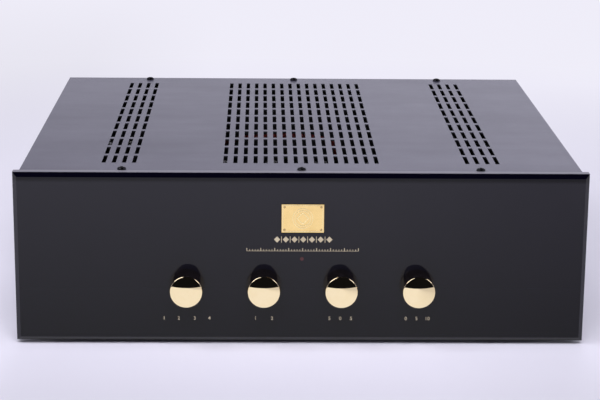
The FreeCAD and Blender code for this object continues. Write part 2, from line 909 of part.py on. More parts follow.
# The knob's outline: a rim at the panel, a slight taper, a domed face and a blind bore for the shaft
def knob(name, x):
    body = newBody("knob_" + name)
    sketch = sketchAt(body, name + "KnobOutline", "XZ")
    corners = [
        ("knobFaceRadius", "knobLength - knobDome"),
        ("knobBaseRadius", "0"),
        ("shaftBore", "0"),
        ("shaftBore", "knobBoreDepth"),
        ("0", "knobBoreDepth"),
        ("0", "knobLength"),
    ]
    for number in range(len(corners) - 1):
        sketch.addGeometry(Part.LineSegment(Vector(number, 0, 0), Vector(number + 1, 0, 0)), False)
    for number, (across, up) in enumerate(corners[:-1]):
        tiePoint(sketch, number, 1, across, up)
        if number:
            sketch.addConstraint(Sketcher.Constraint("Coincident", number - 1, 2, number, 1))
    last = len(corners) - 2
    tiePoint(sketch, last, 2, *corners[-1])

    top, radius, dome = size("knobLength"), size("knobFaceRadius"), size("knobDomeRadius")
    middle = Vector(0, top - dome, 0)
    rim = Vector(radius, top - size("knobDome"), 0)
    crown = Vector(0, top, 0)
    halfway = middle + Vector(radius / 2, (dome**2 - (radius / 2) ** 2) ** 0.5, 0)
    arc = sketch.addGeometry(Part.Arc(rim, halfway, crown), False)
    sketch.addConstraint(Sketcher.Constraint("Coincident", arc, 1, 0, 1))
    sketch.addConstraint(Sketcher.Constraint("Coincident", arc, 2, last, 2))
    sketch.addConstraint(Sketcher.Constraint("PointOnObject", arc, 3, -2))
    solid = spin(body, sketch)

    faceEdge = max(
        (edge for edge in solid.Shape.Edges if edge.BoundBox.XLength > 2 * radius - 0.1),
        key=lambda edge: edge.BoundBox.ZMax,
    )
    names = [
        "Edge%d" % (number + 1)
        for number, edge in enumerate(solid.Shape.Edges)
        if edge.isSame(faceEdge)
    ]
    rounding = body.newObject("PartDesign::Fillet", name + "KnobEdge")
    rounding.Base = (solid, names)
    rounding.setExpression("Radius", tied("knobEdge"))
    doc.recompute()
    place(body, x, "knobBaseY", "knobZ", "front")
    return body


# The shaft runs from inside its switch or pot, through the bush, to the end of the knob's bore.
def shaft(name, x):
    body = turned(
        "shaft_" + name,
        [("0", "0"), ("shaftRadius", "0"), ("shaftRadius", "shaftLength"), ("0", "shaftLength")],
        x,
        "plateInnerY + potBore",
        "knobZ",
        "front",
    )
    flat = rectangle(
        sketchAt(body, name + "ShaftFlat", "XY", "shaftLength"),
        "-shaftRadius",
        "shaftRadius - shaftFlat",
        "shaftRadius",
        "shaftRadius",
    )
    pocket(body, flat, "shaftFlatLength", positive=False)
    return body


def bushOutline():
    return [
        ("0", "potBore + sheetGap"),
        ("shaftBore", "potBore + sheetGap"),
        ("shaftBore", "-caseSheet - bushLength"),
        ("bushRadius", "-caseSheet - bushLength"),
        ("bushRadius", "0"),
    ]


def rotarySwitch(label, x, radius, wafers):
    corners = bushOutline() + [(radius, "0"), (radius, "switchPlate"), ("switchHubRadius", "switchPlate")]
    for number in range(1, wafers + 1):
        near = "switchPlate + %d * switchSpacing - switchWafer" % number
        far = "switchPlate + %d * switchSpacing" % number
        wide = "%s + switchWaferRadius - switchRadius" % radius
        corners += [("switchHubRadius", near), (wide, near), (wide, far), ("switchHubRadius", far)]
    end = "switchPlate + %d * switchSpacing + switchWafer" % wafers
    corners += [("switchHubRadius", end), ("0", end)]
    return turned(label, corners, x, "plateInnerY", "knobZ", "back")


def potentiometer(label, x, gangs):
    corners = bushOutline()
    for number in range(gangs):
        near = "%d * (potGang + potWaist)" % number
        far = near + " + potGang"
        corners += [("potRadius", near), ("potRadius", far)]
        if number < gangs - 1:
            corners += [("switchHubRadius", far), ("switchHubRadius", far + " + potWaist")]
    corners.append(("0", far))
    return turned(label, corners, x, "plateInnerY", "knobZ", "back")


def bushNuts():
    body = newBody("bush_nuts")
    corner = "bushNutFlats / 2 / cos(30)"
    hexagon = [
        ("%s * cos(%d)" % (corner, angle), "%s * sin(%d)" % (corner, angle)) for angle in range(0, 360, 60)
    ]
    sketch = outline(sketchAt(body, "nutOutline", "XY"), hexagon)
    circles(sketch, [("0", "0")], "bushRadius + screwFit")
    pad(body, sketch, "bushNutThickness")
    place(body, "knobFirstX", "coverFrontY", "knobZ", "front")
    return repeat(body, "4", "knobPitch")


# Power light: a lens through the panel, held from behind by a bush in the front plate


def ledLens():
    floor = "panelThickness - nutPocketDepth"
    return turned(
        "led_lens",
        [
            ("0", "0"),
            ("ledRadius", "0"),
            ("ledRadius", floor),
            ("ledFlangeRadius", floor),
            ("ledFlangeRadius", floor + " + ledFlange"),
            ("0", floor + " + ledFlange"),
        ],
        "ledX",
        "panelFrontY",
        "ledZ",
        "back",
    )


def ledHolder():
    return turned(
        "led_holder",
        [
            ("ledRadius * 0.7", "ledFlange - nutPocketDepth"),
            ("ledHolderRadius", "ledFlange - nutPocketDepth"),
            ("ledHolderRadius", "caseSheet"),
            ("ledHolderFlange", "caseSheet"),
            ("ledHolderFlange", "2 * caseSheet"),
            ("ledHolderRadius", "2 * caseSheet"),
            ("ledHolderRadius", "ledHolderTail"),
            ("ledRadius * 0.7", "ledHolderTail"),
        ],
        "ledX",
        "coverFrontY",
        "ledZ",
        "back",
    )


# Transformers and choke

transformers = {
    "mains": {"width": "mainsWidth", "stack": "mainsStack", "x": "mainsX", "rows": ["mainsY"]},
    "output": {
        "width": "outputWidth",
        "stack": "outputStack",
        "x": "outputX",
        "rows": ["outputY", "outputY + outputPitch"],
    },
    "choke": {"width": "chokeWidth", "stack": "chokeStack", "x": "chokeX", "rows": ["chokeY"]},
}


def transformerRows(transformer):
    first = size(transformer["rows"][0])
    return [first + number * size("outputPitch") for number in range(len(transformer["rows"]))]


# Plates of width w: a leg of w/3 between two windows of w/6 by w/2, with w/6 of iron all round them
def core(name, transformer, y):
    width, stack, x = transformer["width"], transformer["stack"], transformer["x"]
    near = "%s - %s / 2" % (y, stack)
    iron = block(
        name + "Iron", (width, stack, width + " * 5 / 6"), ("%s - %s / 2" % (x, width), near, "baseTopZ")
    )
    windows = [
        block(
            "%sWindow%d" % (name, number),
            (width + " / 6", stack, width + " / 2"),
            ("%s + %s * (%s)" % (x, width, shift), near, "baseTopZ + %s / 6" % width),
        )
        for number, shift in enumerate(("-1 / 3", "1 / 6"))
    ]
    return cut(name, iron, *windows)


def coil(name, transformer, y):
    width, stack, x = transformer["width"], transformer["stack"], transformer["x"]
    wound = block(
        name + "Block",
        (
            "%s * 2 / 3 - 2 * coilGap" % width,
            "%s + 2 * coilOverhang" % stack,
            "%s / 2 - 2 * coilGap" % width,
        ),
        (
            "%s - %s / 3 + coilGap" % (x, width),
            "%s - %s / 2 - coilOverhang" % (y, stack),
            "baseTopZ + %s / 6 + coilGap" % width,
        ),
    )
    doc.recompute()
    upright = [
        number + 1
        for number, edge in enumerate(wound.Shape.Edges)
        if edge.BoundBox.ZLength > edge.BoundBox.XLength + edge.BoundBox.YLength
    ]
    rounded = doc.addObject("Part::Fillet", name + "Rounded")
    rounded.Base = wound
    rounded.Edges = [(number, size("coilCorner"), size("coilCorner")) for number in upright]
    leg = block(
        name + "Leg",
        ("%s / 3 + 2 * coilGap" % width, "%s + 2 * coilGap" % stack, "%s / 2" % width),
        (
            "%s - %s / 6 - coilGap" % (x, width),
            "%s - %s / 2 - coilGap" % (y, stack),
            "baseTopZ + %s / 6" % width,
        ),
    )
    return cut(name, rounded, leg)


# A strap folded over the core, with a foot on the base plate on each side
def strap(name, transformer, y):
    width, x = transformer["width"], transformer["x"]
    body = newBody(name)
    half = "%s / 2" % width
    top = "baseTopZ + %s * 5 / 6" % width

    def side(sign):
        inner = "%s + %d * (%s)" % (x, sign, half)
        outer = "%s + %d * (%s + strapSheet)" % (x, sign, half)
        tip = "%s + %d * (%s + strapSheet + strapFoot)" % (x, sign, half)
        return inner, outer, tip

    left, leftOuter, leftTip = side(-1)
    right, rightOuter, rightTip = side(1)
    fold = outline(
        sketchAt(body, name + "Fold", "XZ", "%s - %s * strapShare / 2" % (y, transformer["stack"])),
        [
            (leftTip, "baseTopZ"),
            (left, "baseTopZ"),
            (left, top),
            (right, top),
            (right, "baseTopZ"),
            (rightTip, "baseTopZ"),
            (rightTip, "baseTopZ + strapSheet"),
            (rightOuter, "baseTopZ + strapSheet"),
            (rightOuter, top + " + strapSheet"),
            (leftOuter, top + " + strapSheet"),
            (leftOuter, "baseTopZ + strapSheet"),
            (leftTip, "baseTopZ + strapSheet"),
        ],
    )
    pad(body, fold, transformer["stack"] + " * strapShare")
    reach = "(%s + strapSheet + strapFoot / 2)" % half
    spots = [("%s - %s" % (x, reach), y), ("%s + %s" % (x, reach), y)]
    holes = circles(sketchAt(body, name + "Holes", "XY", "baseTopZ"), spots, "strapBoltRadius + strapPlay")
    pocket(body, holes, "strapSheet")
    return body


def strapBolts(name, transformer, y):
    reach = "(%s / 2 + strapSheet + strapFoot / 2)" % transformer["width"]
    body = turned(
        name,
        [
            ("0", "-strapSheet - caseSheet"),
            ("strapBoltRadius", "-strapSheet - caseSheet"),
            ("strapBoltRadius", "0"),
            ("strapBoltHead", "0"),
            ("strapBoltHead", "strapBoltHeadHeight * 0.6"),
            ("strapBoltHead * 0.7", "strapBoltHeadHeight"),
            ("0", "strapBoltHeadHeight"),
        ],
        "%s - %s" % (transformer["x"], reach),
        y,
        "baseTopZ + strapSheet",
    )
    return repeat(body, "2", "2 * " + reach)


def buildTransformers():
    straps, bolts = [], []
    for name, transformer in transformers.items():
        cores, coils = [], []
        for number, y in enumerate(transformer["rows"]):
            copy = "%s%d" % (name, number)
            cores.append(core(copy + "Core", transformer, y))
            coils.append(coil(copy + "Coil", transformer, y))
            straps.append(strap(copy + "Strap", transformer, y))
            bolts.append(strapBolts(copy + "Bolts", transformer, y))
        keep(name + "_core", cores[0] if len(cores) == 1 else together(name + "Cores", *cores))
        keep(name + "_coil", coils[0] if len(coils) == 1 else together(name + "Coils", *coils))
    keep("transformer_straps", together("straps", *straps))
    keep("transformer_bolts", together("bolts", *bolts))


# Circuit board, sockets, tubes and capacitors


def circuitBoard():
    return block(
        "board",
        ("boardWidth", "boardDepth", "boardThickness"),
        ("boardMidX - boardWidth / 2", "boardMidY - boardDepth / 2", "boardUnderZ"),
    )


def boardPillars():
    body = turned(
        "board_pillars",
        [("0", "0"), ("pillarRadius", "0"), ("pillarRadius", "pillarHeight"), ("0", "pillarHeight")],
        "boardMidX + pillarInset - boardWidth / 2",
        "boardMidY - boardDepth / 2 + pillarInset",
        "baseTopZ",
    )
    return repeat(body, "2", "boardWidth - 2 * pillarInset", "3", "boardDepth / 2 - pillarInset")


# The two rows of tubes: how many, how far apart, where, and how tall
tubeRows = {
    "output": {"count": 4, "pitch": "outputTubePitch", "y": "outputTubeY", "height": "outputTubeHeight"},
    "signal": {"count": 3, "pitch": "signalTubePitch", "y": "signalTubeY", "height": "signalTubeHeight"},
}


def tubeRow(name, label, corners, z):
    row = tubeRows[name]
    first = "-%s * %g" % (row["pitch"], (row["count"] - 1) / 2)
    body = turned(label, corners, first, row["y"], z)
    return repeat(body, str(row["count"]), row["pitch"])


def tubeSockets():
    corners = [
        ("socketBore", "0"),
        ("socketRadius", "0"),
        ("socketRadius", "socketHeight - socketRimHeight"),
        ("socketRim", "socketHeight - socketRimHeight"),
        ("socketRim", "socketHeight"),
        ("socketBore", "socketHeight"),
    ]
    rows = [tubeRow(name, name + "Sockets", corners, "boardTopZ") for name in tubeRows]
    return together("sockets", *rows)


# A bulb is a glass shell, open below where its socket closes it, with the tip where it was sealed.
def tubeBulbs(name):
    height = tubeRows[name]["height"]
    inner = "bulbRadius - bulbWall"
    corners = [
        (inner, "0"),
        ("bulbRadius", "0"),
        ("bulbRadius", "%s - bulbTip - bulbRadius * 0.6" % height),
        ("bulbRadius * 0.88", "%s - bulbTip - bulbRadius * 0.25" % height),
        ("bulbRadius * 0.5", "%s - bulbTip" % height),
        ("bulbTip * 0.4", "%s - bulbTip * 0.8" % height),
        ("0", height),
        ("0", "%s - bulbTip - bulbWall" % height),
        ("(bulbRadius - bulbWall) * 0.5", "%s - bulbTip - bulbWall" % height),
        (
            "(bulbRadius - bulbWall) * 0.88",
            "%s - bulbTip - bulbWall - (bulbRadius - bulbWall) * 0.25" % height,
        ),
        (inner, "%s - bulbTip - bulbWall - (bulbRadius - bulbWall) * 0.6" % height),
    ]
    return tubeRow(name, name + "_tube_bulbs", corners, "tubeSeatZ")


# Inside each bulb: a base, the plate and two mica spacers
def tubeElectrodes():
    def stack(name):
        height = tubeRows[name]["height"]
        low, high = "bulbRadius * 0.7", "%s - bulbTip - bulbRadius * 1.3" % height
        return [
            ("0", "0"),
            ("bulbRadius - bulbWall - electrodePlay", "0"),
            ("bulbRadius - bulbWall - electrodePlay", "micaThickness * 3"),
            ("electrodeRadius / 3", "micaThickness * 3"),
            ("electrodeRadius / 3", low),
            ("micaRadius", low),
            ("micaRadius", low + " + micaThickness"),
            ("electrodeRadius", low + " + micaThickness"),
            ("electrodeRadius", high),
            ("micaRadius", high),
            ("micaRadius", high + " + micaThickness"),
            ("electrodeRadius / 2", high + " + micaThickness"),
            ("electrodeRadius / 2", high + " + micaThickness * 5"),
            ("0", high + " + micaThickness * 5"),
        ]

    rows = [tubeRow(name, name + "Electrodes", stack(name), "tubeSeatZ") for name in tubeRows]
    return together("electrodes", *rows)


def reservoirCapacitors():
    groove = "reservoirRadius * 0.94"
    body = turned(
        "reservoir_capacitors",
        [
            ("0", "0"),
            ("reservoirRadius", "0"),
            ("reservoirRadius", "reservoirRadius * 0.2"),
            (groove, "reservoirRadius * 0.26"),
            (groove, "reservoirRadius * 0.3"),
            ("reservoirRadius", "reservoirRadius * 0.36"),
            ("reservoirRadius", "reservoirHeight - reservoirRadius * 0.06"),
            (groove, "reservoirHeight"),
            ("reservoirRadius * 0.84", "reservoirHeight"),
            ("reservoirRadius * 0.84", "reservoirHeight - reservoirRadius * 0.05"),
            ("0", "reservoirHeight - reservoirRadius * 0.05"),
        ],
        "-1.5 * reservoirPitch",
        "reservoirY",
        "boardTopZ",
    )
    return repeat(body, "4", "reservoirPitch")


def couplingCapacitors():
    body = turned(
        "coupling_capacitors",
        [
            ("0", "0"),
            ("couplingRadius * 0.86", "0"),
            ("couplingRadius", "couplingRadius * 0.14"),
            ("couplingRadius", "couplingLength - couplingRadius * 0.14"),
            ("couplingRadius * 0.86", "couplingLength"),
            ("0", "couplingLength"),
        ],
        "-1.5 * couplingPitch",
        "couplingY - couplingLength / 2",
        "boardTopZ + couplingRadius",
        "back",
    )
    return repeat(body, "4", "couplingPitch")


# Wiring: a tube along straight runs joined by arcs that touch both runs


def roundedPath(points):
    edges = []
    start = points[0]
    for before, corner, after in zip(points, points[1:], points[2:]):
        inward, outward = (before - corner).normalize(), (after - corner).normalize()
        trim = 0.45 * min((before - corner).Length, (after - corner).Length)
        enter, leave = corner + inward * trim, corner + outward * trim
        radius = trim * math.tan(inward.getAngle(outward) / 2)
        toMiddle = (inward + outward).normalize()
        middle = corner + toMiddle * (radius**2 + trim**2) ** 0.5
        edges.append(Part.makeLine(start, enter))
        edges.append(Part.Arc(enter, middle - toMiddle * radius, leave).toShape())
        start = leave
    edges.append(Part.makeLine(start, points[-1]))
    return Part.Wire(edges)


def loom(label, points, radius):
    path = roundedPath([Vector(*point) for point in points])
    start = path.Edges[0].tangentAt(path.Edges[0].FirstParameter)
    ring = Part.Wire(Part.makeCircle(radius, Vector(*points[0]), start))
    item = doc.addObject("Part::Feature", label)
    item.Shape = path.makePipeShell([ring], True, False)
    return item


# From the line sockets forward between the left transformers and the board to the input switch
def signalLoom():
    column = 3
    x = size("lineFirstX") + column * size("linePitch")
    aisle = size("boardMidX") - size("boardWidth") / 2 - size("loomClearance")
    low = size("baseTopZ") + 2 * size("loomClearance")
    sway = size("signalLoomRadius") / 3
    tail, first = size("lineTailY"), size("coverFrontY")
    switchBack = size("plateInnerY") + size("switchPlate") + 2 * size("switchSpacing") + size("switchWafer")
    knobX, knobZ = size("knobFirstX"), size("knobZ")
    points = [
        (x, tail, size("lineLowZ")),
        (x, tail - 14, size("lineLowZ")),
        (aisle, tail - 34, low),
        (aisle - sway, tail - 110, low - sway),
        (aisle + sway, tail - 190, low),
        (aisle, first + 90, low - sway),
        (aisle, first + 56, low + 4),
        (knobX, switchBack + 16, knobZ),
        (knobX, switchBack, knobZ),
    ]
    return loom("signal_loom", points, size("signalLoomRadius"))


# From the rear output transformer along the back of the case, over the speaker terminals to the last one
def outputLoom():
    coilBack = (
        size("outputY") + size("outputPitch") + size("outputStack") / 2 + size("coilOverhang")
    )
    x = size("outputX") + size("outputWidth") / 6
    z = size("baseTopZ") + size("outputWidth") / 2
    lastX = size("postFirstX") + 3 * size("postPitch")
    tail, postZ = size("postTailY"), size("postZ")
    high = postZ + size("loomRise")
    points = [
        (x, coilBack, z),
        (x, coilBack + 12, z),
        (x + 14, tail - 24, z + 8),
        (x + 44, tail - 12, high - 12),
        (x + 84, tail - 8, high),
        (x + 130, tail - 8, high + 3),
        (lastX - 20, tail - 9, high + 2),
        (lastX - 3, tail - 12, high - 3),
        (lastX, tail - 14, postZ + 9),
        (lastX, tail - 9, postZ),
        (lastX, tail, postZ),
    ]
    return loom("output_loom", points, size("outputLoomRadius"))


# Back of the case: line sockets and speaker terminals


def lineShells():
    inner = "lineRadius - lineWall"
    body = turned(
        "line_shells",
        [
            (inner, "-caseSheet - lineTail"),
            ("lineRadius", "-caseSheet - lineTail"),
            ("lineRadius", "0"),
            ("lineFlangeRadius", "0"),
            ("lineFlangeRadius", "lineFlange"),
            ("lineRadius", "lineFlange"),
            ("lineRadius", "lineReach - lineWall / 2"),
            ("lineRadius - lineWall / 2", "lineReach"),
            (inner, "lineReach"),
        ],
        "lineFirstX",
        "coverBackY",
        "lineLowZ + lineRowPitch",
        "back",
    )
    return repeat(body, "lineColumns", "linePitch", "2", "lineRowPitch")


def lineInsulators():
    outer = "lineRadius - lineWall - shaftPlay"
    body = turned(
        "line_insulators",
        [
            ("linePinBore", "-caseSheet - lineTail"),
            (outer, "-caseSheet - lineTail"),
            (outer, "lineReach - lineInsulatorStep"),
            ("linePinBore", "lineReach - lineInsulatorStep"),
        ],
        "lineFirstX",
        "coverBackY",
        "lineLowZ + lineRowPitch",
        "back",
    )
    return repeat(body, "lineColumns", "linePitch", "2", "lineRowPitch")


def postStems():
    body = turned(
        "post_stems",
        [
            ("0", "-caseSheet - postTail"),
            ("postRadius", "-caseSheet - postTail"),
            ("postRadius", "postStemLength"),
            ("postBore", "postStemLength"),
            ("postBore", "postStemLength - postBoreDepth"),
            ("0", "postStemLength - postBoreDepth"),
        ],
        "postFirstX",
        "coverBackY",
        "postZ",
        "back",
    )
    return repeat(body, "4", "postPitch")


def postCollars():
    body = turned(
        "post_collars",
        [
            ("postRadius + shaftPlay", "0"),
            ("postCollarRadius", "0"),
            ("postCollarRadius", "postCollar * 0.6"),
            ("postCollarRadius * 0.9", "postCollar"),
            ("postRadius + shaftPlay", "postCollar"),
        ],
        "postFirstX",
        "coverBackY",
        "postZ",
        "back",
    )
    return repeat(body, "4", "postPitch")


# A cap turns on its stem; its rim is fluted for the fingers, and a plug passes through its open end.
def postCap(number):
    low = "postCollar + postCapGap"
    body = turned(
        "post_cap_%d" % (number + 1),
        [
            ("postRadius + shaftPlay", low),
            ("postCapRadius - postCapEdge", low),
            ("postCapRadius", low + " + postCapEdge"),
            ("postCapRadius", "postReach - postCapEdge"),
            ("postCapRadius - postCapEdge", "postReach"),
            ("postRadius + shaftPlay", "postReach"),
        ],
        "postFirstX + %d * postPitch" % number,
        "coverBackY",
        "postZ",
        "back",
    )
    name = "capFlute%d" % number
    flute = circles(
        sketchAt(body, name, "XY", low),
        [("postCapRadius + postFluteRadius - postFluteDepth", "0")],
        "postFluteRadius",
    )
    groove = pocket(body, flute, "postReach - postCollar")
    ring = body.newObject("PartDesign::PolarPattern", name + "Ring")
    ring.Originals = [groove]
    ring.Axis = (originPart(body, "Z_Axis"), [""])
    ring.Angle = 360
    ring.setExpression("Occurrences", tied("postFlutes"))
    body.Tip = ring
    doc.recompute()
    return body


# Mains inlet: a flange and a box behind it, with the cavity for the plug and the slot of the fuse drawer


def inletHousing():
    body = newBody("inlet_housing")
    flange = sketchAt(body, "inletFlangeOutline", "XZ", "coverBackY")
    rectangle(
        flange,
        "inletX - inletFlangeWidth / 2",
        "inletZ - inletFlangeHeight / 2",
        "inletX + inletFlangeWidth / 2",
        "inletZ + inletFlangeHeight / 2",
    )
    pad(body, flange, "inletFlange")
    box = sketchAt(body, "inletBoxOutline", "XZ", "coverBackY")
    rectangle(
        box,
        "inletX - inletBoxWidth / 2",
        "inletZ - inletBoxHeight / 2",
        "inletX + inletBoxWidth / 2",
        "inletZ + inletBoxHeight / 2",
    )
    pad(body, box, "inletBoxDepth", positive=False)

    face = "coverBackY + inletFlange"
    left, right = "inletX - cavityWidth / 2", "inletX + cavityWidth / 2"
    top = "inletZ + cavityRise + cavityHeight / 2"
    low = "inletZ + cavityRise - cavityHeight / 2"
    cavity = outline(
        sketchAt(body, "inletCavity", "XZ", face),
        [
            (left + " + cavityCorner", low),
            (right + " - cavityCorner", low),
            (right, low + " + cavityCorner"),
            (right, top),
            (left, top),
            (left, low + " + cavityCorner"),
        ],
    )
    pocket(body, cavity, "cavityDepth", positive=False)
    slot = rectangle(
        sketchAt(body, "drawerSlot", "XZ", face),
        "inletX - drawerWidth / 2",
        "drawerZ - drawerHeight / 2",
        "inletX + drawerWidth / 2",
        "drawerZ + drawerHeight / 2",
    )
    pocket(body, slot, "drawerDepth + drawerPlay", positive=False)
    holes = circles(sketchAt(body, "flangeHoles", "XZ", face), inletScrewSpots, "screwRadius + screwPlay")
    pocket(body, holes, "inletFlange", positive=False)
    return body


# The middle blade is the earth, longer and a step higher than the other two
def inletPins():
    blades = []
    for column, step in ((-1, 0), (0, 1), (1, 0)):
        blades.append(
            block(
                "inletPin%d" % (column + 1),
                ("inletPinWidth", "inletPinReach", "inletPinHeight"),
                (
                    "inletX + %d * inletPinAcross - inletPinWidth / 2" % column,
                    "cavityFloorY",
                    "inletZ + cavityRise - inletPinHeight / 2 + (2 * %d - 1) * inletPinStep" % step,
                ),
            )
        )
    return together("inletPins", *blades)


def fuseDrawer():
    body = newBody("fuse_drawer")
    mouth = "coverBackY + inletFlange"
    tray = rectangle(
        sketchAt(body, "drawerTray", "XZ", mouth),
        "inletX - drawerWidth / 2 + drawerPlay",
        "drawerZ - drawerHeight / 2 + drawerPlay",
        "inletX + drawerWidth / 2 - drawerPlay",
        "drawerZ + drawerHeight / 2 - drawerPlay",
    )
    pad(body, tray, "drawerDepth", positive=False)
    front = rectangle(
        sketchAt(body, "drawerFront", "XZ", mouth),
        "inletX - drawerWidth / 2 - drawerLip",
        "drawerZ - drawerHeight / 2 - drawerLip",
        "inletX + drawerWidth / 2 + drawerLip",
        "drawerZ + drawerHeight / 2 + drawerLip",
    )
    pad(body, front, "drawerFront")
    fuse = rectangle(
        sketchAt(body, "fuseSeat", "XY", "drawerZ + drawerHeight / 2 - drawerPlay"),
        "inletX - drawerWidth / 4",
        "coverBackY - drawerDepth * 0.7",
        "inletX + drawerWidth / 4",
        "coverBackY - drawerDepth * 0.2",
    )
    pocket(body, fuse, "drawerHeight * 0.6", positive=False)
    return body


# Power switch: a frame with a well, and a rocker that turns on two short pins in the well's walls


def switchFrame():
    body = newBody("switch_frame")
    halfWidth = "(rockerWidth / 2 + rockerPlay)"
    halfHeight = "(rockerRadius + rockerPlay)"
    bezel = rectangle(
        sketchAt(body, "bezelOutline", "XZ", "coverBackY"),
        "rockerX - bezelWidth / 2",
        "rockerZ - bezelHeight / 2",
        "rockerX + bezelWidth / 2",
        "rockerZ + bezelHeight / 2",
    )
    pad(body, bezel, "bezelThickness")
    box = rectangle(
        sketchAt(body, "rockerBoxOutline", "XZ", "coverBackY"),
        "rockerX - %s - rockerBoxWall" % halfWidth,
        "rockerZ - %s - rockerBoxWall" % halfHeight,
        "rockerX + %s + rockerBoxWall" % halfWidth,
        "rockerZ + %s + rockerBoxWall" % halfHeight,
    )
    pad(body, box, "rockerBoxDepth + rockerBoxWall", positive=False)
    well = rectangle(
        sketchAt(body, "rockerWell", "XZ", "coverBackY + bezelThickness"),
        "rockerX - " + halfWidth,
        "rockerZ - " + halfHeight,
        "rockerX + " + halfWidth,
        "rockerZ + " + halfHeight,
    )
    pocket(body, well, "rockerBoxDepth", positive=False)
    reach = "(rockerWidth / 2 + rockerPinLength + rockerPinPlay)"
    pins = circles(
        sketchAt(body, "rockerPinHoles", "YZ", "rockerX - " + reach),
        [("rockerPivotY", "rockerZ")],
        "rockerPinRadius + rockerPinPlay",
    )
    pocket(body, pins, "2 * " + reach)
    return body


# The rocker's outline lies in a circle round its pins, so that it clears the well at both of its stops.
def powerRocker():
    body = newBody("power_rocker")
    end = "rockerRadius * 0.85"
    sketch = outline(
        sketchAt(body, "rockerOutline", "YZ", "-rockerWidth / 2"),
        [
            ("-rockerBack", "-rockerRadius * 0.64"),
            ("rockerRadius * 0.05", "-rockerRadius * 0.98"),
            ("rockerRadius * 0.3", "-rockerRadius * 0.94"),
            ("rockerEndDepth", "-" + end),
            ("rockerValley", "0"),
            ("rockerEndDepth", end),
            ("rockerRadius * 0.3", "rockerRadius * 0.94"),
            ("rockerRadius * 0.05", "rockerRadius * 0.98"),
            ("-rockerBack", "rockerRadius * 0.64"),
        ],
    )
    pad(body, sketch, "rockerWidth")
    reach = "rockerWidth / 2 + rockerPinLength"
    pins = circles(sketchAt(body, "rockerPins", "YZ", "-(%s)" % reach), [("0", "0")], "rockerPinRadius")
    pad(body, pins, "2 * (%s)" % reach)
    place(body, "rockerX", "rockerPivotY", "rockerZ")
    body.Placement = Placement(Vector(), Rotation(Vector(1, 0, 0), size("rockerTilt")))
    return body


def buildParts():
    keep("front_panel", frontPanel())
    keep("badge_plate", badgePlate())
    keep("badge_pins", badgePins())
    keep("front_plate", frontPlate())
    keep("rear_plate", rearPlate())
    keep("left_side", sidePanel("left_side", -1))
    keep("right_side", sidePanel("right_side", 1))
    keep("base_plate", basePlate())
    keep("top_cover", topCover())
    keep("cover_screws", coverScrews())
    keep("case_screws", caseScrews())
    keep("panel_bolts", panelBolts())
    keep("feet", feet())
    keep("foot_screws", footScrews())
    for name, x in zip(controls, knobColumns):
        keep("knob_" + name, knob(name, x))
        keep("shaft_" + name, shaft(name, x))
    keep("input_switch", rotarySwitch("input_switch", knobColumns[0], "switchRadius", 2))
    keep("tape_switch", rotarySwitch("tape_switch", knobColumns[1], "tapeSwitchRadius", 1))
    keep("balance_pot", potentiometer("balance_pot", knobColumns[2], 1))
    keep("volume_pot", potentiometer("volume_pot", knobColumns[3], 2))
    keep("bush_nuts", bushNuts())
    keep("led_lens", ledLens())
    keep("led_holder", ledHolder())
    buildTransformers()
    keep("circuit_board", circuitBoard())
    keep("board_pillars", boardPillars())
    keep("tube_sockets", tubeSockets())
    keep("output_tube_bulbs", tubeBulbs("output"))
    keep("signal_tube_bulbs", tubeBulbs("signal"))
    keep("tube_electrodes", tubeElectrodes())
    keep("reservoir_capacitors", reservoirCapacitors())
    keep("coupling_capacitors", couplingCapacitors())
    keep("signal_loom", signalLoom())
    keep("output_loom", outputLoom())
    keep("line_shells", lineShells())
    keep("line_insulators", lineInsulators())
    keep("post_stems", postStems())
    keep("post_collars", postCollars())
    for number in range(4):
        keep("post_cap_%d" % (number + 1), postCap(number))
    keep("inlet_housing", inletHousing())
    keep("inlet_pins", inletPins())
    keep("fuse_drawer", fuseDrawer())
    keep("switch_frame", switchFrame())
    keep("power_rocker", powerRocker())
    doc.recompute()


def checkParts():
    for item in doc.Objects:
        if "Invalid" in item.State or "Error" in item.State:
            raise RuntimeError("%s failed: %s" % (item.Name, item.State))
    for label, item in nodes.items():
        if item.Shape.isNull() or not item.Shape.isValid():
            raise RuntimeError(label + " has no valid shape")


def writeParts():
    for label, item in nodes.items():
        item.Shape.exportStep("parts/%s.step" % label)
    print("%d nodes" % len(nodes))


buildParts()
checkParts()
writeParts()
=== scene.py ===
import math
import bmesh
import bpy
from mathutils import Matrix, Vector


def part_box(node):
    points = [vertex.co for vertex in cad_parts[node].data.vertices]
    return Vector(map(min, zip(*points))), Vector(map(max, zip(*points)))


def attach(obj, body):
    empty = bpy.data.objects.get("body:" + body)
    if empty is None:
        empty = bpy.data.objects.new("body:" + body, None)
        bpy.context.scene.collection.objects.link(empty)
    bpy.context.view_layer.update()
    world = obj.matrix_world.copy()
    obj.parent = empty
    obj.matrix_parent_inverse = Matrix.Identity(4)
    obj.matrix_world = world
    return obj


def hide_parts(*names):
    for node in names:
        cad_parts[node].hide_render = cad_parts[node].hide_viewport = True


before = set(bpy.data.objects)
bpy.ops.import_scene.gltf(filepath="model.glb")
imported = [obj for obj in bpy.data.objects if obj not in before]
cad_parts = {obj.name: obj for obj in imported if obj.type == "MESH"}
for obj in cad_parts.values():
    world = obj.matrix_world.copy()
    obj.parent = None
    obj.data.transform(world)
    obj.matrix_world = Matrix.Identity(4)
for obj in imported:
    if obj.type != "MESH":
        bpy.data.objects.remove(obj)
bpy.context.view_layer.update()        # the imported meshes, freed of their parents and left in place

# Tube integrated amplifier: looks for the imported model.
# Metres, X to the right as seen from the front, Y to the back, Z up.

mm = 0.001
weldReach = 0.001 * mm
sharpAngle = math.radians(35)


def low(node):
    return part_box(node)[0]


def high(node):
    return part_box(node)[1]


def middle(node):
    return (low(node) + high(node)) / 2


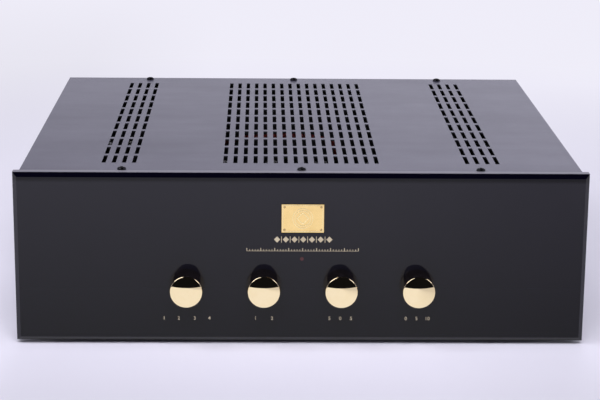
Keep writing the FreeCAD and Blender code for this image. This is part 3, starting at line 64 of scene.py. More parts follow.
panelFaceY = low("front_panel").y
panelTopZ = high("front_panel").z
panelHalf = high("front_panel").x
coverTopZ = high("top_cover").z
coverFrontY = low("top_cover").y
rearFaceY = high("rear_plate").y
controls = ("input", "tape", "balance", "volume")
finishes = {}            # materials by name, filled below

# Tools for shader and geometry trees. A value that is a socket is linked, any other is set on the socket.


def setInput(tree, socket, value):
    if isinstance(value, bpy.types.NodeSocket):
        tree.links.new(value, socket)
    elif socket.type == "RGBA" and len(value) == 3:
        socket.default_value = (*value, 1)
    else:
        socket.default_value = value


def addNode(tree, kind, inputs, **settings):
    made = tree.nodes.new(kind)
    for name, value in settings.items():
        setattr(made, name, value)
    for name, value in inputs.items():
        setInput(tree, made.inputs[name], value)
    return made


def emptyTree(owner):
    owner.use_nodes = True
    owner.node_tree.nodes.clear()
    return owner.node_tree


# A material whose build function gives back the inputs of its shader
def surface(name, build, *details):
    material = bpy.data.materials.new(name)
    tree = emptyTree(material)
    shader = addNode(tree, "ShaderNodeBsdfPrincipled", build(tree, objectPlace(tree), *details))
    addNode(tree, "ShaderNodeOutputMaterial", {"Surface": shader.outputs["BSDF"]})
    return material


def objectPlace(tree):
    return tree.nodes.new("ShaderNodeTexCoord").outputs["Object"]


def stretched(tree, place, scale, location=(0, 0, 0)):
    return addNode(tree, "ShaderNodeMapping", {
        "Vector": place, "Scale": scale, "Location": location}).outputs["Vector"]


def noise(tree, place, scale, detail=3.0, roughness=0.5):
    return addNode(tree, "ShaderNodeTexNoise", {
        "Vector": place, "Scale": scale, "Detail": detail, "Roughness": roughness}).outputs["Fac"]


def cells(tree, place, scale):
    return addNode(tree, "ShaderNodeTexVoronoi", {"Vector": place, "Scale": scale}).outputs["Distance"]


# A value's range from start to end, turned into another range
def spread(tree, value, start, end, toStart=0.0, toEnd=1.0):
    return addNode(tree, "ShaderNodeMapRange", {
        "Value": value, "From Min": start, "From Max": end,
        "To Min": toStart, "To Max": toEnd}).outputs["Result"]


def sums(tree, operation, first, second=0.0):
    return addNode(tree, "ShaderNodeMath", {0: first, 1: second}, operation=operation).outputs["Value"]


def product(tree, *factors):
    whole = factors[0]
    for factor in factors[1:]:
        whole = sums(tree, "MULTIPLY", whole, factor)
    return whole


# Two values added up, each by its own share
def mixture(tree, first, firstShare, second, secondShare):
    return sums(tree, "ADD", product(tree, first, firstShare), product(tree, second, secondShare))


def distanceFrom(tree, first, second):
    return sums(tree, "SQRT", mixture(tree, first, first, second, second))


# A mix node has sockets for every kind of value: 2 and 3 take numbers, 6 and 7 colours.
def between(tree, share, first, second):
    return addNode(tree, "ShaderNodeMix", {0: share, 2: first, 3: second}).outputs[0]


def blended(tree, share, first, second):
    return addNode(tree, "ShaderNodeMix", {0: share, 6: first, 7: second}, data_type="RGBA").outputs[2]


# A colour made darker or lighter
def scaled(tree, colour, factor):
    return addNode(tree, "ShaderNodeVectorMath", {0: colour, 1: factor},
                   operation="MULTIPLY").outputs["Vector"]


def axes(tree, place):
    parts = addNode(tree, "ShaderNodeSeparateXYZ", {"Vector": place}).outputs
    return parts["X"], parts["Y"], parts["Z"]


def softEdge(tree, radius):
    return addNode(tree, "ShaderNodeBevel", {"Radius": radius}, samples=4).outputs["Normal"]


# A relief, on top of a softened edge where its radius is given
def bumped(tree, height, strength, distance, edge=None):
    inputs = {"Height": height, "Strength": strength, "Distance": distance}
    if edge:
        inputs["Normal"] = softEdge(tree, edge)
    return addNode(tree, "ShaderNodeBump", inputs).outputs["Normal"]


def dress(material, *nodeNames):
    for name in nodeNames:
        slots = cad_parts[name].data.materials
        slots.clear()
        slots.append(material)


# Tools for meshes

def newObject(name, data, *materials):
    made = bpy.data.objects.new(name, data)
    bpy.context.scene.collection.objects.link(made)
    for material in materials:
        data.materials.append(material)
    return made


# The mesh of an object that carries a modifier or letters. The object itself goes.
def plainMesh(holder):
    seen = bpy.context.evaluated_depsgraph_get()
    mesh = bpy.data.meshes.new_from_object(holder.evaluated_get(seen))
    holder.modifiers.clear()
    bpy.data.objects.remove(holder)
    return mesh


def meshOf(form, name):
    mesh = bpy.data.meshes.new(name)
    form.to_mesh(mesh)
    form.free()
    return mesh


def weld(form):
    bmesh.ops.remove_doubles(form, verts=form.verts, dist=weldReach)
    bmesh.ops.recalc_face_normals(form, faces=form.faces)


# A turned form round its own Z axis, from (radius, height) pairs. A third number makes that ring a polygon.
def turnedMesh(name, profile, steps):
    form = bmesh.new()
    rings = []
    for radius, height, *sides in profile:
        if radius == 0:
            rings.append([form.verts.new((0, 0, height))])
            continue
        ring = []
        for step in range(steps):
            angle = 2 * math.pi * step / steps
            reach = radius
            if sides:
                sector = 2 * math.pi / sides[0]
                reach = radius / math.cos((angle % sector) - sector / 2)
            ring.append(form.verts.new((reach * math.cos(angle), reach * math.sin(angle), height)))
        rings.append(ring)
    for before, after in zip(rings, rings[1:]):
        for step in range(steps):
            following = (step + 1) % steps
            corners = [before[step % len(before)], before[following % len(before)],
                       after[following % len(after)], after[step % len(after)]]
            unique = list(dict.fromkeys(corners))
            if len(unique) > 2:
                form.faces.new(unique)
    weld(form)
    mesh = meshOf(form, name)
    mesh.polygons.foreach_set("use_smooth", [True] * len(mesh.polygons))
    mesh.set_sharp_from_angle(angle=sharpAngle)
    return mesh


# Points of a circular arc in the (radius, height) plane
def arc(centreRadius, centreHeight, radius, startAngle, endAngle, steps):
    points = []
    for step in range(steps + 1):
        angle = math.radians(startAngle + (endAngle - startAngle) * step / steps)
        points.append((centreRadius + radius * math.cos(angle), centreHeight + radius * math.sin(angle)))
    return points


facings = {
    "up": Matrix(),
    "down": Matrix.Rotation(math.pi, 4, "X"),
    "front": Matrix.Rotation(math.pi / 2, 4, "X"),
    "back": Matrix.Rotation(math.pi, 4, "Z") @ Matrix.Rotation(math.pi / 2, 4, "X"),
}


def placed(mesh, facing, place):
    mesh.transform(Matrix.Translation(place) @ facings[facing])
    return mesh


def joined(name, meshes, welded=False):
    form = bmesh.new()
    for mesh in meshes:
        form.from_mesh(mesh)
        bpy.data.meshes.remove(mesh)
    if welded:
        weld(form)
    return meshOf(form, name)


# Geometry Nodes tree that sets a shape out in columns and rows, with its own finish
def rowsOfParts():
    tree = bpy.data.node_groups.new("rows_of_parts", "GeometryNodeTree")
    for kind, names in (
        ("Geometry", ("Geometry",)), ("Object", ("Shape",)), ("Material", ("Finish",)),
        ("Int", ("Columns", "Rows", "Seed")), ("Float", ("Column pitch", "Row pitch", "Size change")),
    ):
        for name in names:
            tree.interface.new_socket(name=name, in_out="INPUT", socket_type="NodeSocket" + kind)
    tree.interface.new_socket(name="Geometry", in_out="OUTPUT", socket_type="NodeSocketGeometry")
    given = tree.nodes.new("NodeGroupInput").outputs
    index = tree.nodes.new("GeometryNodeInputIndex").outputs["Index"]
    column = sums(tree, "MODULO", index, given["Columns"])
    row = sums(tree, "FLOOR", sums(tree, "DIVIDE", index, given["Columns"]))

    def offset(number, count, pitch):
        half = sums(tree, "DIVIDE", sums(tree, "SUBTRACT", given[count], 1.0), 2.0)
        return product(tree, sums(tree, "SUBTRACT", number, half), given[pitch])

    place = addNode(tree, "ShaderNodeCombineXYZ", {
        "X": offset(column, "Columns", "Column pitch"), "Y": offset(row, "Rows", "Row pitch")})
    count = product(tree, given["Columns"], given["Rows"])
    points = addNode(tree, "GeometryNodePoints", {"Count": count, "Position": place.outputs["Vector"]})
    shape = addNode(tree, "GeometryNodeObjectInfo", {"Object": given["Shape"]})
    change = addNode(tree, "FunctionNodeRandomValue", {"Seed": given["Seed"]}, data_type="FLOAT")
    size = addNode(tree, "ShaderNodeMapRange", {
        "Value": change.outputs["Value"], "To Min": 1.0,
        "To Max": sums(tree, "SUBTRACT", 1.0, given["Size change"])})
    copies = addNode(tree, "GeometryNodeInstanceOnPoints", {
        "Points": points.outputs["Points"], "Instance": shape.outputs["Geometry"],
        "Scale": size.outputs["Result"]})
    solid = addNode(tree, "GeometryNodeRealizeInstances", {"Geometry": copies.outputs["Instances"]})
    finished = addNode(tree, "GeometryNodeSetMaterial", {
        "Geometry": solid.outputs["Geometry"], "Material": given["Finish"]})
    addNode(tree, "NodeGroupOutput", {"Geometry": finished.outputs["Geometry"]})
    return tree


partsTree = rowsOfParts()


# Lays out copies of a shape and gives them back as one plain mesh
def laidOut(shape, finish, columns, rows, columnPitch, rowPitch=0.0, change=0.0, seed=1):
    pattern = newObject("pattern", shape)
    holder = newObject("rows", bpy.data.meshes.new("rows"))
    modifier = holder.modifiers.new("rows", "NODES")
    modifier.node_group = partsTree
    values = {"Shape": pattern, "Finish": finishes[finish], "Columns": columns, "Rows": rows,
              "Column pitch": columnPitch, "Row pitch": rowPitch, "Size change": change, "Seed": seed}
    for item in partsTree.interface.items_tree:
        if item.name in values:
            modifier[item.identifier] = values[item.name]
    mesh = plainMesh(holder)
    bpy.data.objects.remove(pattern)
    return mesh


# A bar with flat ends, or a lozenge where it is pointed
def barMesh(width, height, depth, pointed=False):
    x, y = width / 2, height / 2
    outline = [(0, -y), (x, 0), (0, y), (-x, 0)] if pointed else [(-x, -y), (x, -y), (x, y), (-x, y)]
    form = bmesh.new()
    under = [form.verts.new((*corner, 0)) for corner in outline]
    over = [form.verts.new((*corner, depth)) for corner in outline]
    form.faces.new(under[::-1])
    form.faces.new(over)
    for index in range(4):
        following = (index + 1) % 4
        form.faces.new((under[index], under[following], over[following], over[index]))
    return meshOf(form, "bar")


# An open rectangle of thin bars in the XY plane
def frameOfBars(width, height, line, relief):
    bars = []
    for side in (-1, 1):
        bars.append(placed(barMesh(width + line, line, relief), "up", (0, side * height / 2, 0)))
        bars.append(placed(barMesh(line, height - line, relief), "up", (side * width / 2, 0, 0)))
    return bars


# A flat ring, or a polygon's outline where sides are given
def ringMesh(outer, line, relief, steps, *sides):
    section = ((outer - line, 0), (outer - line, relief), (outer, relief), (outer, 0), (outer - line, 0))
    return turnedMesh("ring", [(*corner, *sides) for corner in section], steps)


# Raised lettering in the XY plane, centred on its place. Its faces and walls come apart, so it is welded.
def letterMesh(text, height, depth, weight):
    capShare = 0.69                     # a capital's height as a share of the letter size
    curve = bpy.data.curves.new("letters", "FONT")
    curve.body = text
    curve.size = height / capShare
    curve.align_x = "CENTER"
    curve.align_y = "CENTER"
    curve.extrude = depth / 2
    curve.offset = weight
    curve.resolution_u = 3
    mesh = plainMesh(newObject("letters", curve))
    return joined("letters", [placed(mesh, "up", (0, 0, depth / 2))], welded=True)


# Makes a piece of a mesh, or of several that it joins
def finishPiece(name, mesh, finish, body, slot, *replaced):
    if isinstance(mesh, list):
        mesh = joined(name, mesh)
    mesh.name = name
    mesh.materials.clear()
    piece = newObject(name, mesh, finishes[finish])
    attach(piece, body)
    if replaced:
        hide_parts(*replaced)


# Camera, at the place from which the photograph was taken

cameraLook = {
    "place": (-32.2 * mm, -1378.7 * mm, 332.4 * mm),  # from the middle of the cover's front edge
    "pitch": 14.451, "yaw": 1.288, "roll": 0.539,     # in degrees
    "lens": 109.576, "sensor": 36.0,
    "reach": (0.05, 300),
}


def makeCamera(look):
    data = bpy.data.cameras.new("camera")
    data.lens = look["lens"]
    data.sensor_width = look["sensor"]
    data.clip_start, data.clip_end = look["reach"]
    pitch, yaw, roll = (math.radians(look[name]) for name in ("pitch", "yaw", "roll"))
    ahead = Vector((math.sin(yaw) * math.cos(pitch), math.cos(yaw) * math.cos(pitch), -math.sin(pitch)))
    across = Vector((math.cos(yaw), -math.sin(yaw), 0))
    above = across.cross(ahead)
    side = across * math.cos(roll) + above * math.sin(roll)
    up = above * math.cos(roll) - across * math.sin(roll)
    camera = newObject("camera", data)
    place = Vector((0, coverFrontY, coverTopZ)) + Vector(look["place"])
    camera.matrix_world = Matrix.Translation(place) @ Matrix((side, up, -ahead)).transposed().to_4x4()
    bpy.context.scene.camera = camera


makeCamera(cameraLook)
print("camera placed")

# Studio: a pale floor, four soft lamps, and a room that is dim in front and overhead

studioLook = {
    "floorNear": (0.73, 0.72, 0.81),
    "floorFar": (0.865, 0.85, 0.945),
    "floorSize": 60.0,
    "clouds": 2.2, "cloudShare": (0.3, 0.7, 0.0, 0.3),
    "floorFade": (0.26, 1.10),        # the floor turns from lit paper to plain background
    "nearShade": (-0.22, -0.36, 1.0, 0.77),   # the paper is a little darker towards the camera
    "sideShades": (                   # soft darker zones beside the case: across, near end, far end, shade
        ((0.10, 0.28), (-0.60, -0.30), (0.90, 0.40), 0.88),
        ((-0.10, -0.28), (0.0, 0.14), (1.80, 0.50), 0.88),
        ((-0.05, -0.19), (-0.60, -0.35), (-0.16, -0.20), 0.93),
    ),
    "mirrorFade": (-0.188, -0.226),   # mirrors show the plain background from close in front
    "mirrorGlow": (0.985, 0.975, 1.0),
    "mirroredShadeRight": (0.72, 0.70, 0.73),
    "mirrorSide": (0.08, 0.28),       # where the mirrored floor turns to its darker right-hand colour, a painted shade that only mirrors see
    "roomTint": (0.95, 0.935, 1.10),
    "roomFill": 0.40,
    "fillUp": (0.0, 0.45, 0.2, 1.0),
    "fillAlong": (-0.4, 0.4, 1.0, 0.5),
    "roomDark": 0.006, "roomPale": 1.0,
    "paleLow": (0.15, 0.31, 1.0, 0.5),
    "paleHigh": (0.45, 0.75, 1.0, 0.0),
    "paleAlong": (-0.55, -0.25),
    "paleAcross": (-0.25, 0.1, 0.6, 0.94),
    "lampTarget": (0, 0, 0.05),
    "lampTint": (1.0, 0.985, 1.03),
    "lamps": {
        "left": {"place": (-1.20, -0.70, 1.52), "size": (1.1, 1.5), "power": 17.0},
        "right": {"place": (1.60, -0.70, 1.20), "size": (0.9, 0.95), "power": 7.0},
        "front": {"place": (0.1, -1.7, 2.3), "size": (1.6, 1.0), "power": 46.0, "unseen": True},
        "back": {"place": (0.2, 1.9, 2.0), "size": (1.4, 0.9), "power": 24.0, "unseen": True},
    },
}


def floorPaper(look):
    material = bpy.data.materials.new("floor_paper")
    tree = emptyTree(material)
    place = objectPlace(tree)
    across, along, _ = axes(tree, place)
    rays = tree.nodes.new("ShaderNodeLightPath").outputs
    mirrored = rays["Is Glossy Ray"]
    clouds = noise(tree, place, look["clouds"], 2.0, 0.4)
    paper = blended(tree, spread(tree, clouds, *look["cloudShare"]), look["floorNear"], look["floorFar"])
    sides = 1.0
    for width, near, far, shade in look["sideShades"]:
        depth = product(tree, spread(tree, along, *near), spread(tree, along, *far))
        zone = product(tree, spread(tree, across, *width), depth)
        sides = product(tree, sides, spread(tree, zone, 0.0, 1.0, 1.0, shade))
    shades = product(tree, spread(tree, along, *look["nearShade"]), sides)
    lit = addNode(tree, "ShaderNodeBsdfDiffuse", {"Color": scaled(tree, paper, shades)})
    mirrorGlow = blended(tree, spread(tree, across, *look["mirrorSide"]), look["mirrorGlow"],
                         look["mirroredShadeRight"])
    glowColour = blended(tree, mirrored, scaled(tree, look["floorFar"], sides), mirrorGlow)
    glow = addNode(tree, "ShaderNodeEmission", {"Color": glowColour, "Strength": 1.0})
    fade = spread(tree, distanceFrom(tree, across, along), *look["floorFade"])
    mirrorFade = product(tree, mirrored, spread(tree, along, *look["mirrorFade"]))
    seen = sums(tree, "MAXIMUM", rays["Is Camera Ray"],
                sums(tree, "MAXIMUM", mirrored, rays["Is Transmission Ray"]))
    share = product(tree, sums(tree, "MAXIMUM", fade, mirrorFade), seen)
    mixed = addNode(tree, "ShaderNodeMixShader", {0: share, 1: lit.outputs[0], 2: glow.outputs[0]})
    addNode(tree, "ShaderNodeOutputMaterial", {"Surface": mixed.outputs[0]})
    return material


def makeFloor(look):
    form = bmesh.new()
    bmesh.ops.create_grid(form, x_segments=8, y_segments=8, size=look["floorSize"])
    newObject("floor", meshOf(form, "floor"), floorPaper(look))


# The room is pale at the sides and behind, and dark overhead and towards the front, as mirrors show it.
def makeRoom(look):
    world = bpy.data.worlds.new("studio")
    bpy.context.scene.world = world
    tree = emptyTree(world)
    across, along, up = axes(tree, tree.nodes.new("ShaderNodeTexCoord").outputs["Generated"])
    rays = tree.nodes.new("ShaderNodeLightPath").outputs
    overhead = product(tree, spread(tree, up, *look["paleLow"]), spread(tree, up, *look["paleHigh"]))
    pale = product(tree, overhead, spread(tree, along, *look["paleAlong"]),
                   spread(tree, across, *look["paleAcross"]))
    glossy = spread(tree, pale, 0.0, 1.0, look["roomDark"], look["roomPale"])
    soft = product(tree, spread(tree, up, *look["fillUp"]), spread(tree, along, *look["fillAlong"]),
                   look["roomFill"])
    fill = between(tree, rays["Is Glossy Ray"], soft, glossy)
    colour = blended(tree, rays["Is Camera Ray"], scaled(tree, look["roomTint"], fill), look["floorFar"])
    background = addNode(tree, "ShaderNodeBackground", {"Color": colour, "Strength": 1.0})
    addNode(tree, "ShaderNodeOutputWorld", {"Surface": background.outputs[0]})


def makeLamps(look):
    for name, lamp in look["lamps"].items():
        data = bpy.data.lights.new(name + "_lamp", "AREA")
        data.shape = "RECTANGLE"
        data.size, data.size_y = lamp["size"]
        data.energy = lamp["power"]
        data.color = look["lampTint"]
        holder = newObject(name + "_lamp", data)
        holder.location = lamp["place"]
        beam = Vector(look["lampTarget"]) - Vector(lamp["place"])
        holder.rotation_euler = beam.to_track_quat("-Z", "Y").to_euler()
        holder.visible_glossy = not lamp.get("unseen", False)


makeFloor(studioLook)
makeRoom(studioLook)
makeLamps(studioLook)
bpy.context.scene.view_settings.view_transform = "Standard"
print("studio made")

# Front panel: gloss black acrylic with sawn, satin outer edges

panelLook = {
    "colour": (0.0013, 0.0011, 0.0042),
    "haze": (0.015, 0.0145, 0.021),     # painted reflection: the black grows lighter towards the top edge, where the panel mirrors brighter floor
    "hazeTop": 131.0 * mm, "hazeEnd": 134.0 * mm,
    "dust": (0.5, 0.5, 0.55), "dustShare": 0.04, "dustCells": 420, "dustSize": (0.045, 0.03),
    "sawn": (0.16, 0.155, 0.18), "sawnRoughness": 0.36, "sawMarks": (300, 900, 300),
    "gloss": 0.03, "smudge": 0.07, "smears": 14,
    "index": 1.345, "edge": 0.06 * mm,
}


def blackAcrylic(tree, place, look):
    across, _, up = axes(tree, place)
    edge = look["edge"]
    side = spread(tree, sums(tree, "ABSOLUTE", across), panelHalf - 2 * edge, panelHalf - edge)
    top = spread(tree, up, panelTopZ - 2 * edge, panelTopZ - edge)
    sawn = sums(tree, "MAXIMUM", side, top)
    smears = spread(tree, noise(tree, stretched(tree, place, (1, 1, 2.4)), look["smears"], 5.0, 0.6),
                    0.45, 0.75)
    dust = spread(tree, cells(tree, place, look["dustCells"]), *look["dustSize"])
    # Painted reflection: the panel's black is made lighter from the bottom up to just under the top edge.
    paintedSheenShare = product(tree, spread(tree, up, 0.0, look["hazeTop"]),
                        spread(tree, up, look["hazeTop"], look["hazeEnd"], 1.0, 0.0))
    film = blended(tree, paintedSheenShare, look["colour"], look["haze"])
    black = blended(tree, product(tree, dust, look["dustShare"]), film, look["dust"])
    polish = spread(tree, smears, 0.0, 1.0, look["gloss"], look["smudge"])
    saw = noise(tree, stretched(tree, place, look["sawMarks"]), 1.0, 2.0)
    return {"Base Color": blended(tree, sawn, black, look["sawn"]),
            "Roughness": between(tree, sawn, polish, look["sawnRoughness"]), "IOR": look["index"],
            "Normal": bumped(tree, product(tree, saw, sawn), 0.12, 0.05 * mm)}


dress(surface("black_acrylic", blackAcrylic, panelLook), "front_panel")

# Painted sheet: a fine powder coat with faint clouds and a soft rim where the sheet was cut

coverLook = {
    "dark": (0.040, 0.038, 0.060), "light": (0.052, 0.049, 0.077), "clouds": 9.0, "peel": 1500.0,
    "smooth": 0.40, "rough": 0.50, "depth": 0.05 * mm, "edge": 0.3 * mm,
    "coat": 0.64, "coatRoughness": 0.14, "speckShare": 0.35, "speckRelief": 3.0,
}
caseLook = {
    "dark": (0.012, 0.012, 0.014), "light": (0.02, 0.02, 0.023), "clouds": 12.0, "peel": 1300.0,
    "smooth": 0.38, "rough": 0.5, "depth": 0.06 * mm, "edge": 0.4 * mm,
    "coat": 0.0, "coatRoughness": 0.2, "speckShare": 0.25, "speckRelief": 1.2,
}
sheetLook = {"bump": 0.6, "specks": 620.0, "wipes": (3, 14, 3), "cut": (0.01, 0.01, 0.012),
             "cutDepth": (0.5 * mm, 0.1 * mm)}     # shared by both paints


# Painted shade: the walls of the slots, under the height of the face, are darker than the face.
def paintedSheet(tree, place, look, faceZ=None):
    clouds = noise(tree, place, look["clouds"], 5.0, 0.62)
    wipes = noise(tree, stretched(tree, place, look["wipes"]), 1.3, 4.0, 0.6)
    peel = cells(tree, place, look["peel"])
    grain = noise(tree, place, look["peel"] * 1.7, 2.0, 0.6)
    tone = product(tree, sums(tree, "ADD", clouds, wipes), 0.5)
    specks = noise(tree, place, look["specks"], 3.0, 0.7)
    mottle = mixture(tree, tone, 1 - look["speckShare"], specks, look["speckShare"])
    colour = blended(tree, spread(tree, mottle, 0.38, 0.60), look["dark"], look["light"])
    if faceZ is not None:
        # Painted shade: below the face, the slot walls take a darker colour.
        start, end = look["cutDepth"]
        depth = spread(tree, axes(tree, place)[2], faceZ - start, faceZ - end)
        colour = blended(tree, depth, look["cut"], colour)
    height = sums(tree, "ADD", mixture(tree, peel, 0.7, grain, 0.4),
                  product(tree, specks, look["speckRelief"]))
    normal = bumped(tree, height, look["bump"], look["depth"], look["edge"])
    return {"Base Color": colour, "Roughness": spread(tree, tone, 0.36, 0.64, look["rough"], look["smooth"]),
            "Normal": normal, "Coat Normal": normal, "Coat Weight": look["coat"],
            "Coat Roughness": look["coatRoughness"]}


dress(surface("cover_paint", paintedSheet, coverLook | sheetLook, coverTopZ), "top_cover")
dress(surface("case_paint", paintedSheet, caseLook | sheetLook),
      "left_side", "right_side", "rear_plate", "base_plate", "front_plate")
print("panel and case dressed")

# Metals: one shader for all, with a fine brush along one axis, faint marks and a soft edge.
# Each row holds the colour, the worn colour, the roughness where polished and where marked, the scales of
# the brush, its relief, and the radius of the edges in millimetres.

metalLooks = {
    "knob_gold": ((0.93, 0.78, 0.53), (0.91, 0.75, 0.48), 0.018, 0.05, (60, 60, 60), 0.01, 0.12),
    "badge_gold": ((0.98, 0.72, 0.335), (0.92, 0.66, 0.29), 0.19, 0.27, (40, 40, 2600), 0.15, 0.2),
    "relief_gold": ((1.0, 0.83, 0.50), (0.96, 0.76, 0.43), 0.16, 0.26, (900, 900, 900), 0.05, 0.12),
    "pin_brass": ((0.62, 0.46, 0.24), (0.48, 0.35, 0.18), 0.25, 0.45, (700, 700, 700), 0.1, 0.15),
    "brass_fitting": ((0.72, 0.55, 0.27), (0.60, 0.44, 0.21), 0.25, 0.40, (500, 2400, 500), 0.12, 0.2),
    "gold_plate": ((0.94, 0.74, 0.36), (0.88, 0.66, 0.30), 0.12, 0.24, (500, 2400, 500), 0.06, 0.15),
    "zinc_steel": ((0.58, 0.59, 0.62), (0.45, 0.46, 0.49), 0.24, 0.42, (700, 700, 2200), 0.1, 0.2),
    "pot_steel": ((0.50, 0.50, 0.50), (0.38, 0.38, 0.38), 0.28, 0.45, (600, 2400, 600), 0.12, 0.3),
    "electrode_metal": ((0.20, 0.20, 0.21), (0.12, 0.12, 0.13), 0.45, 0.6, (800, 800, 3000), 0.15, 0.15),
    "black_oxide": ((0.022, 0.022, 0.026), (0.05, 0.05, 0.056), 0.26, 0.42, (900, 900, 900), 0.12, 0.15),
    "solder": ((0.62, 0.62, 0.64), (0.45, 0.45, 0.47), 0.2, 0.35, (900, 900, 900), 0.15, 0.1),
}


def metal(tree, place, look):
    colour, wornColour, polished, marked, brush, relief, edge = look
    marks = noise(tree, place, 55, 5.0, 0.65)
    brushing = noise(tree, stretched(tree, place, brush), 1.0, 3.0, 0.6)
    worn = spread(tree, mixture(tree, marks, 0.7, brushing, 0.3), 0.42, 0.66)
    return {"Base Color": blended(tree, worn, colour, wornColour), "Metallic": 1.0,
            "Roughness": spread(tree, marks, 0.4, 0.7, polished, marked),
            "Normal": bumped(tree, brushing, relief, 0.03 * mm, edge * mm)}


# Plastics, rubber and paints: a mottled colour, a fine grain and a soft edge.
# Each row holds the colour, the colour of its mottles and the roughness.

plasticLooks = {
    "black_plastic": ((0.018, 0.018, 0.02), (0.026, 0.026, 0.029), 0.38),
    "switch_plastic": ((0.03, 0.028, 0.026), (0.05, 0.046, 0.042), 0.5),
    "rocker_plastic": ((0.014, 0.014, 0.015), (0.02, 0.02, 0.022), 0.24),
    "red_cap": ((0.42, 0.016, 0.014), (0.34, 0.012, 0.011), 0.25),
    "black_cap": ((0.016, 0.016, 0.017), (0.024, 0.024, 0.026), 0.25),
    "red_film": ((0.36, 0.05, 0.02), (0.26, 0.03, 0.015), 0.3),
    "grey_cable": ((0.16, 0.16, 0.17), (0.12, 0.12, 0.13), 0.5),
    "red_cable": ((0.13, 0.012, 0.010), (0.08, 0.008, 0.007), 0.42),
    "rubber": ((0.013, 0.013, 0.013), (0.026, 0.025, 0.024), 0.78),
    "socket_ceramic": ((0.72, 0.70, 0.64), (0.62, 0.60, 0.54), 0.35),
    "mark_ink": ((0.62, 0.54, 0.37), (0.55, 0.47, 0.32), 0.45),
    "white_ink": ((0.62, 0.62, 0.60), (0.55, 0.55, 0.53), 0.5),
    "film_box": ((0.46, 0.30, 0.05), (0.38, 0.23, 0.04), 0.35),
}


def plastic(tree, place, look):
    colour, mottleColour, rough = look
    patches = noise(tree, place, 38, 4.0, 0.6)
    grain = noise(tree, place, 2400, 3.0, 0.6)
    mottle = spread(tree, mixture(tree, patches, 0.6, grain, 0.4), 0.38, 0.62)
    return {"Base Color": blended(tree, mottle, colour, mottleColour),
            "Roughness": spread(tree, patches, 0.35, 0.7, rough * 0.85, min(1, rough * 1.25)),
            "Normal": bumped(tree, grain, 0.12, 0.04 * mm, 0.25 * mm)}


finishes |= {name: surface(name, metal, look) for name, look in metalLooks.items()}
finishes |= {name: surface(name, plastic, look) for name, look in plasticLooks.items()}

for finish, nodeNames in {
    "badge_gold": ("badge_plate",),
    "pin_brass": ("badge_pins",),
    "zinc_steel": ("panel_bolts", "foot_screws", "transformer_straps", "transformer_bolts",
                   *("shaft_" + name for name in controls)),
    "pot_steel": ("balance_pot", "volume_pot"),
    "brass_fitting": ("bush_nuts", "board_pillars"),
    "gold_plate": ("line_shells", "post_stems", "inlet_pins"),
    "electrode_metal": ("tube_electrodes",),
    "black_plastic": ("led_holder", "post_collars", "inlet_housing", "fuse_drawer", "switch_frame"),
    "switch_plastic": ("input_switch", "tape_switch"),
    "rocker_plastic": ("power_rocker",),
    "red_cap": ("post_cap_1", "post_cap_3"),
    "black_cap": ("post_cap_2", "post_cap_4"),
    "red_film": ("coupling_capacitors",),
    "grey_cable": ("signal_loom",),
    "red_cable": ("output_loom",),
    "socket_ceramic": ("tube_sockets",),
    "rubber": ("feet",),
}.items():
    dress(finishes[finish], *nodeNames)

# Finishes with a pattern of their own


# Two colours that meet at a height
def splitByHeight(tree, place, height, look):
    grain = noise(tree, place, 1800, 3.0)
    share = spread(tree, axes(tree, place)[2], height - 0.1 * mm, height + 0.1 * mm)
    colour = blended(tree, share, look["lower"], look["upper"])
    grime = spread(tree, grain, 0.3, 0.7, 0.0, look["grimeShare"])
    return {"Base Color": blended(tree, grime, colour, look["grime"]),
            "Roughness": spread(tree, grain, 0.3, 0.7, look["rough"], look["rough"] + 0.12),
            "Normal": bumped(tree, grain, 0.1, 0.03 * mm)}


# Laminations: thin dark lines between steel sheets that lie side by side along Y
def laminatedSteel(tree, place, look):
    _, along, _ = axes(tree, place)
    half = look["sheet"] / 2
    line = spread(tree, sums(tree, "PINGPONG", along, half), 0.0, half)
    varnish = noise(tree, stretched(tree, place, (30, 600, 30)), 1.0, 4.0, 0.6)
    steel = blended(tree, spread(tree, varnish, 0.35, 0.65), look["steel"], look["varnish"])
    return {"Base Color": blended(tree, line, look["gap"], steel), "Metallic": 0.6,
            "Roughness": spread(tree, varnish, 0.3, 0.7, 0.38, 0.6),
            "Normal": bumped(tree, line, 0.5, 0.15 * mm, 0.3 * mm)}


# Windings under tape: overlapping turns of tape round the coil's long side
def coilTape(tree, place, look):
    _, _, up = axes(tree, place)
    lap = spread(tree, sums(tree, "PINGPONG", up, look["turn"] / 2), 0.0, look["lap"])
    creases = noise(tree, stretched(tree, place, (60, 60, 340)), 1.0, 4.0, 0.65)
    paper = blended(tree, spread(tree, creases, 0.35, 0.65), look["light"], look["dark"])
    return {"Base Color": blended(tree, lap, look["seam"], paper),
            "Roughness": spread(tree, creases, 0.3, 0.7, 0.3, 0.5),
            "Normal": bumped(tree, sums(tree, "ADD", lap, creases), 0.4, 0.2 * mm, 0.5 * mm)}


# Circuit board: green lacquer over copper tracks, which run in straight stretches
def circuitBoard(tree, place, look):
    squares = addNode(tree, "ShaderNodeTexVoronoi", {
        "Vector": place, "Scale": look["mesh"], "Randomness": 0.85}, distance="CHEBYCHEV", feature="F1")
    track = spread(tree, sums(tree, "PINGPONG", squares.outputs["Distance"], 0.09), 0.035, 0.045)
    weave = addNode(tree, "ShaderNodeTexWave", {"Vector": place, "Scale": look["weave"], "Distortion": 0.6})
    threads = spread(tree, weave.outputs["Fac"], 0.2, 0.8, 0.0, 0.25)
    cloth = blended(tree, threads, look["lacquer"], look["cloth"])
    return {"Base Color": blended(tree, track, look["copper"], cloth),
            "Roughness": spread(tree, noise(tree, place, 60), 0.3, 0.7, 0.22, 0.36),
            "Normal": bumped(tree, track, 0.3, 0.05 * mm, 0.2 * mm)}


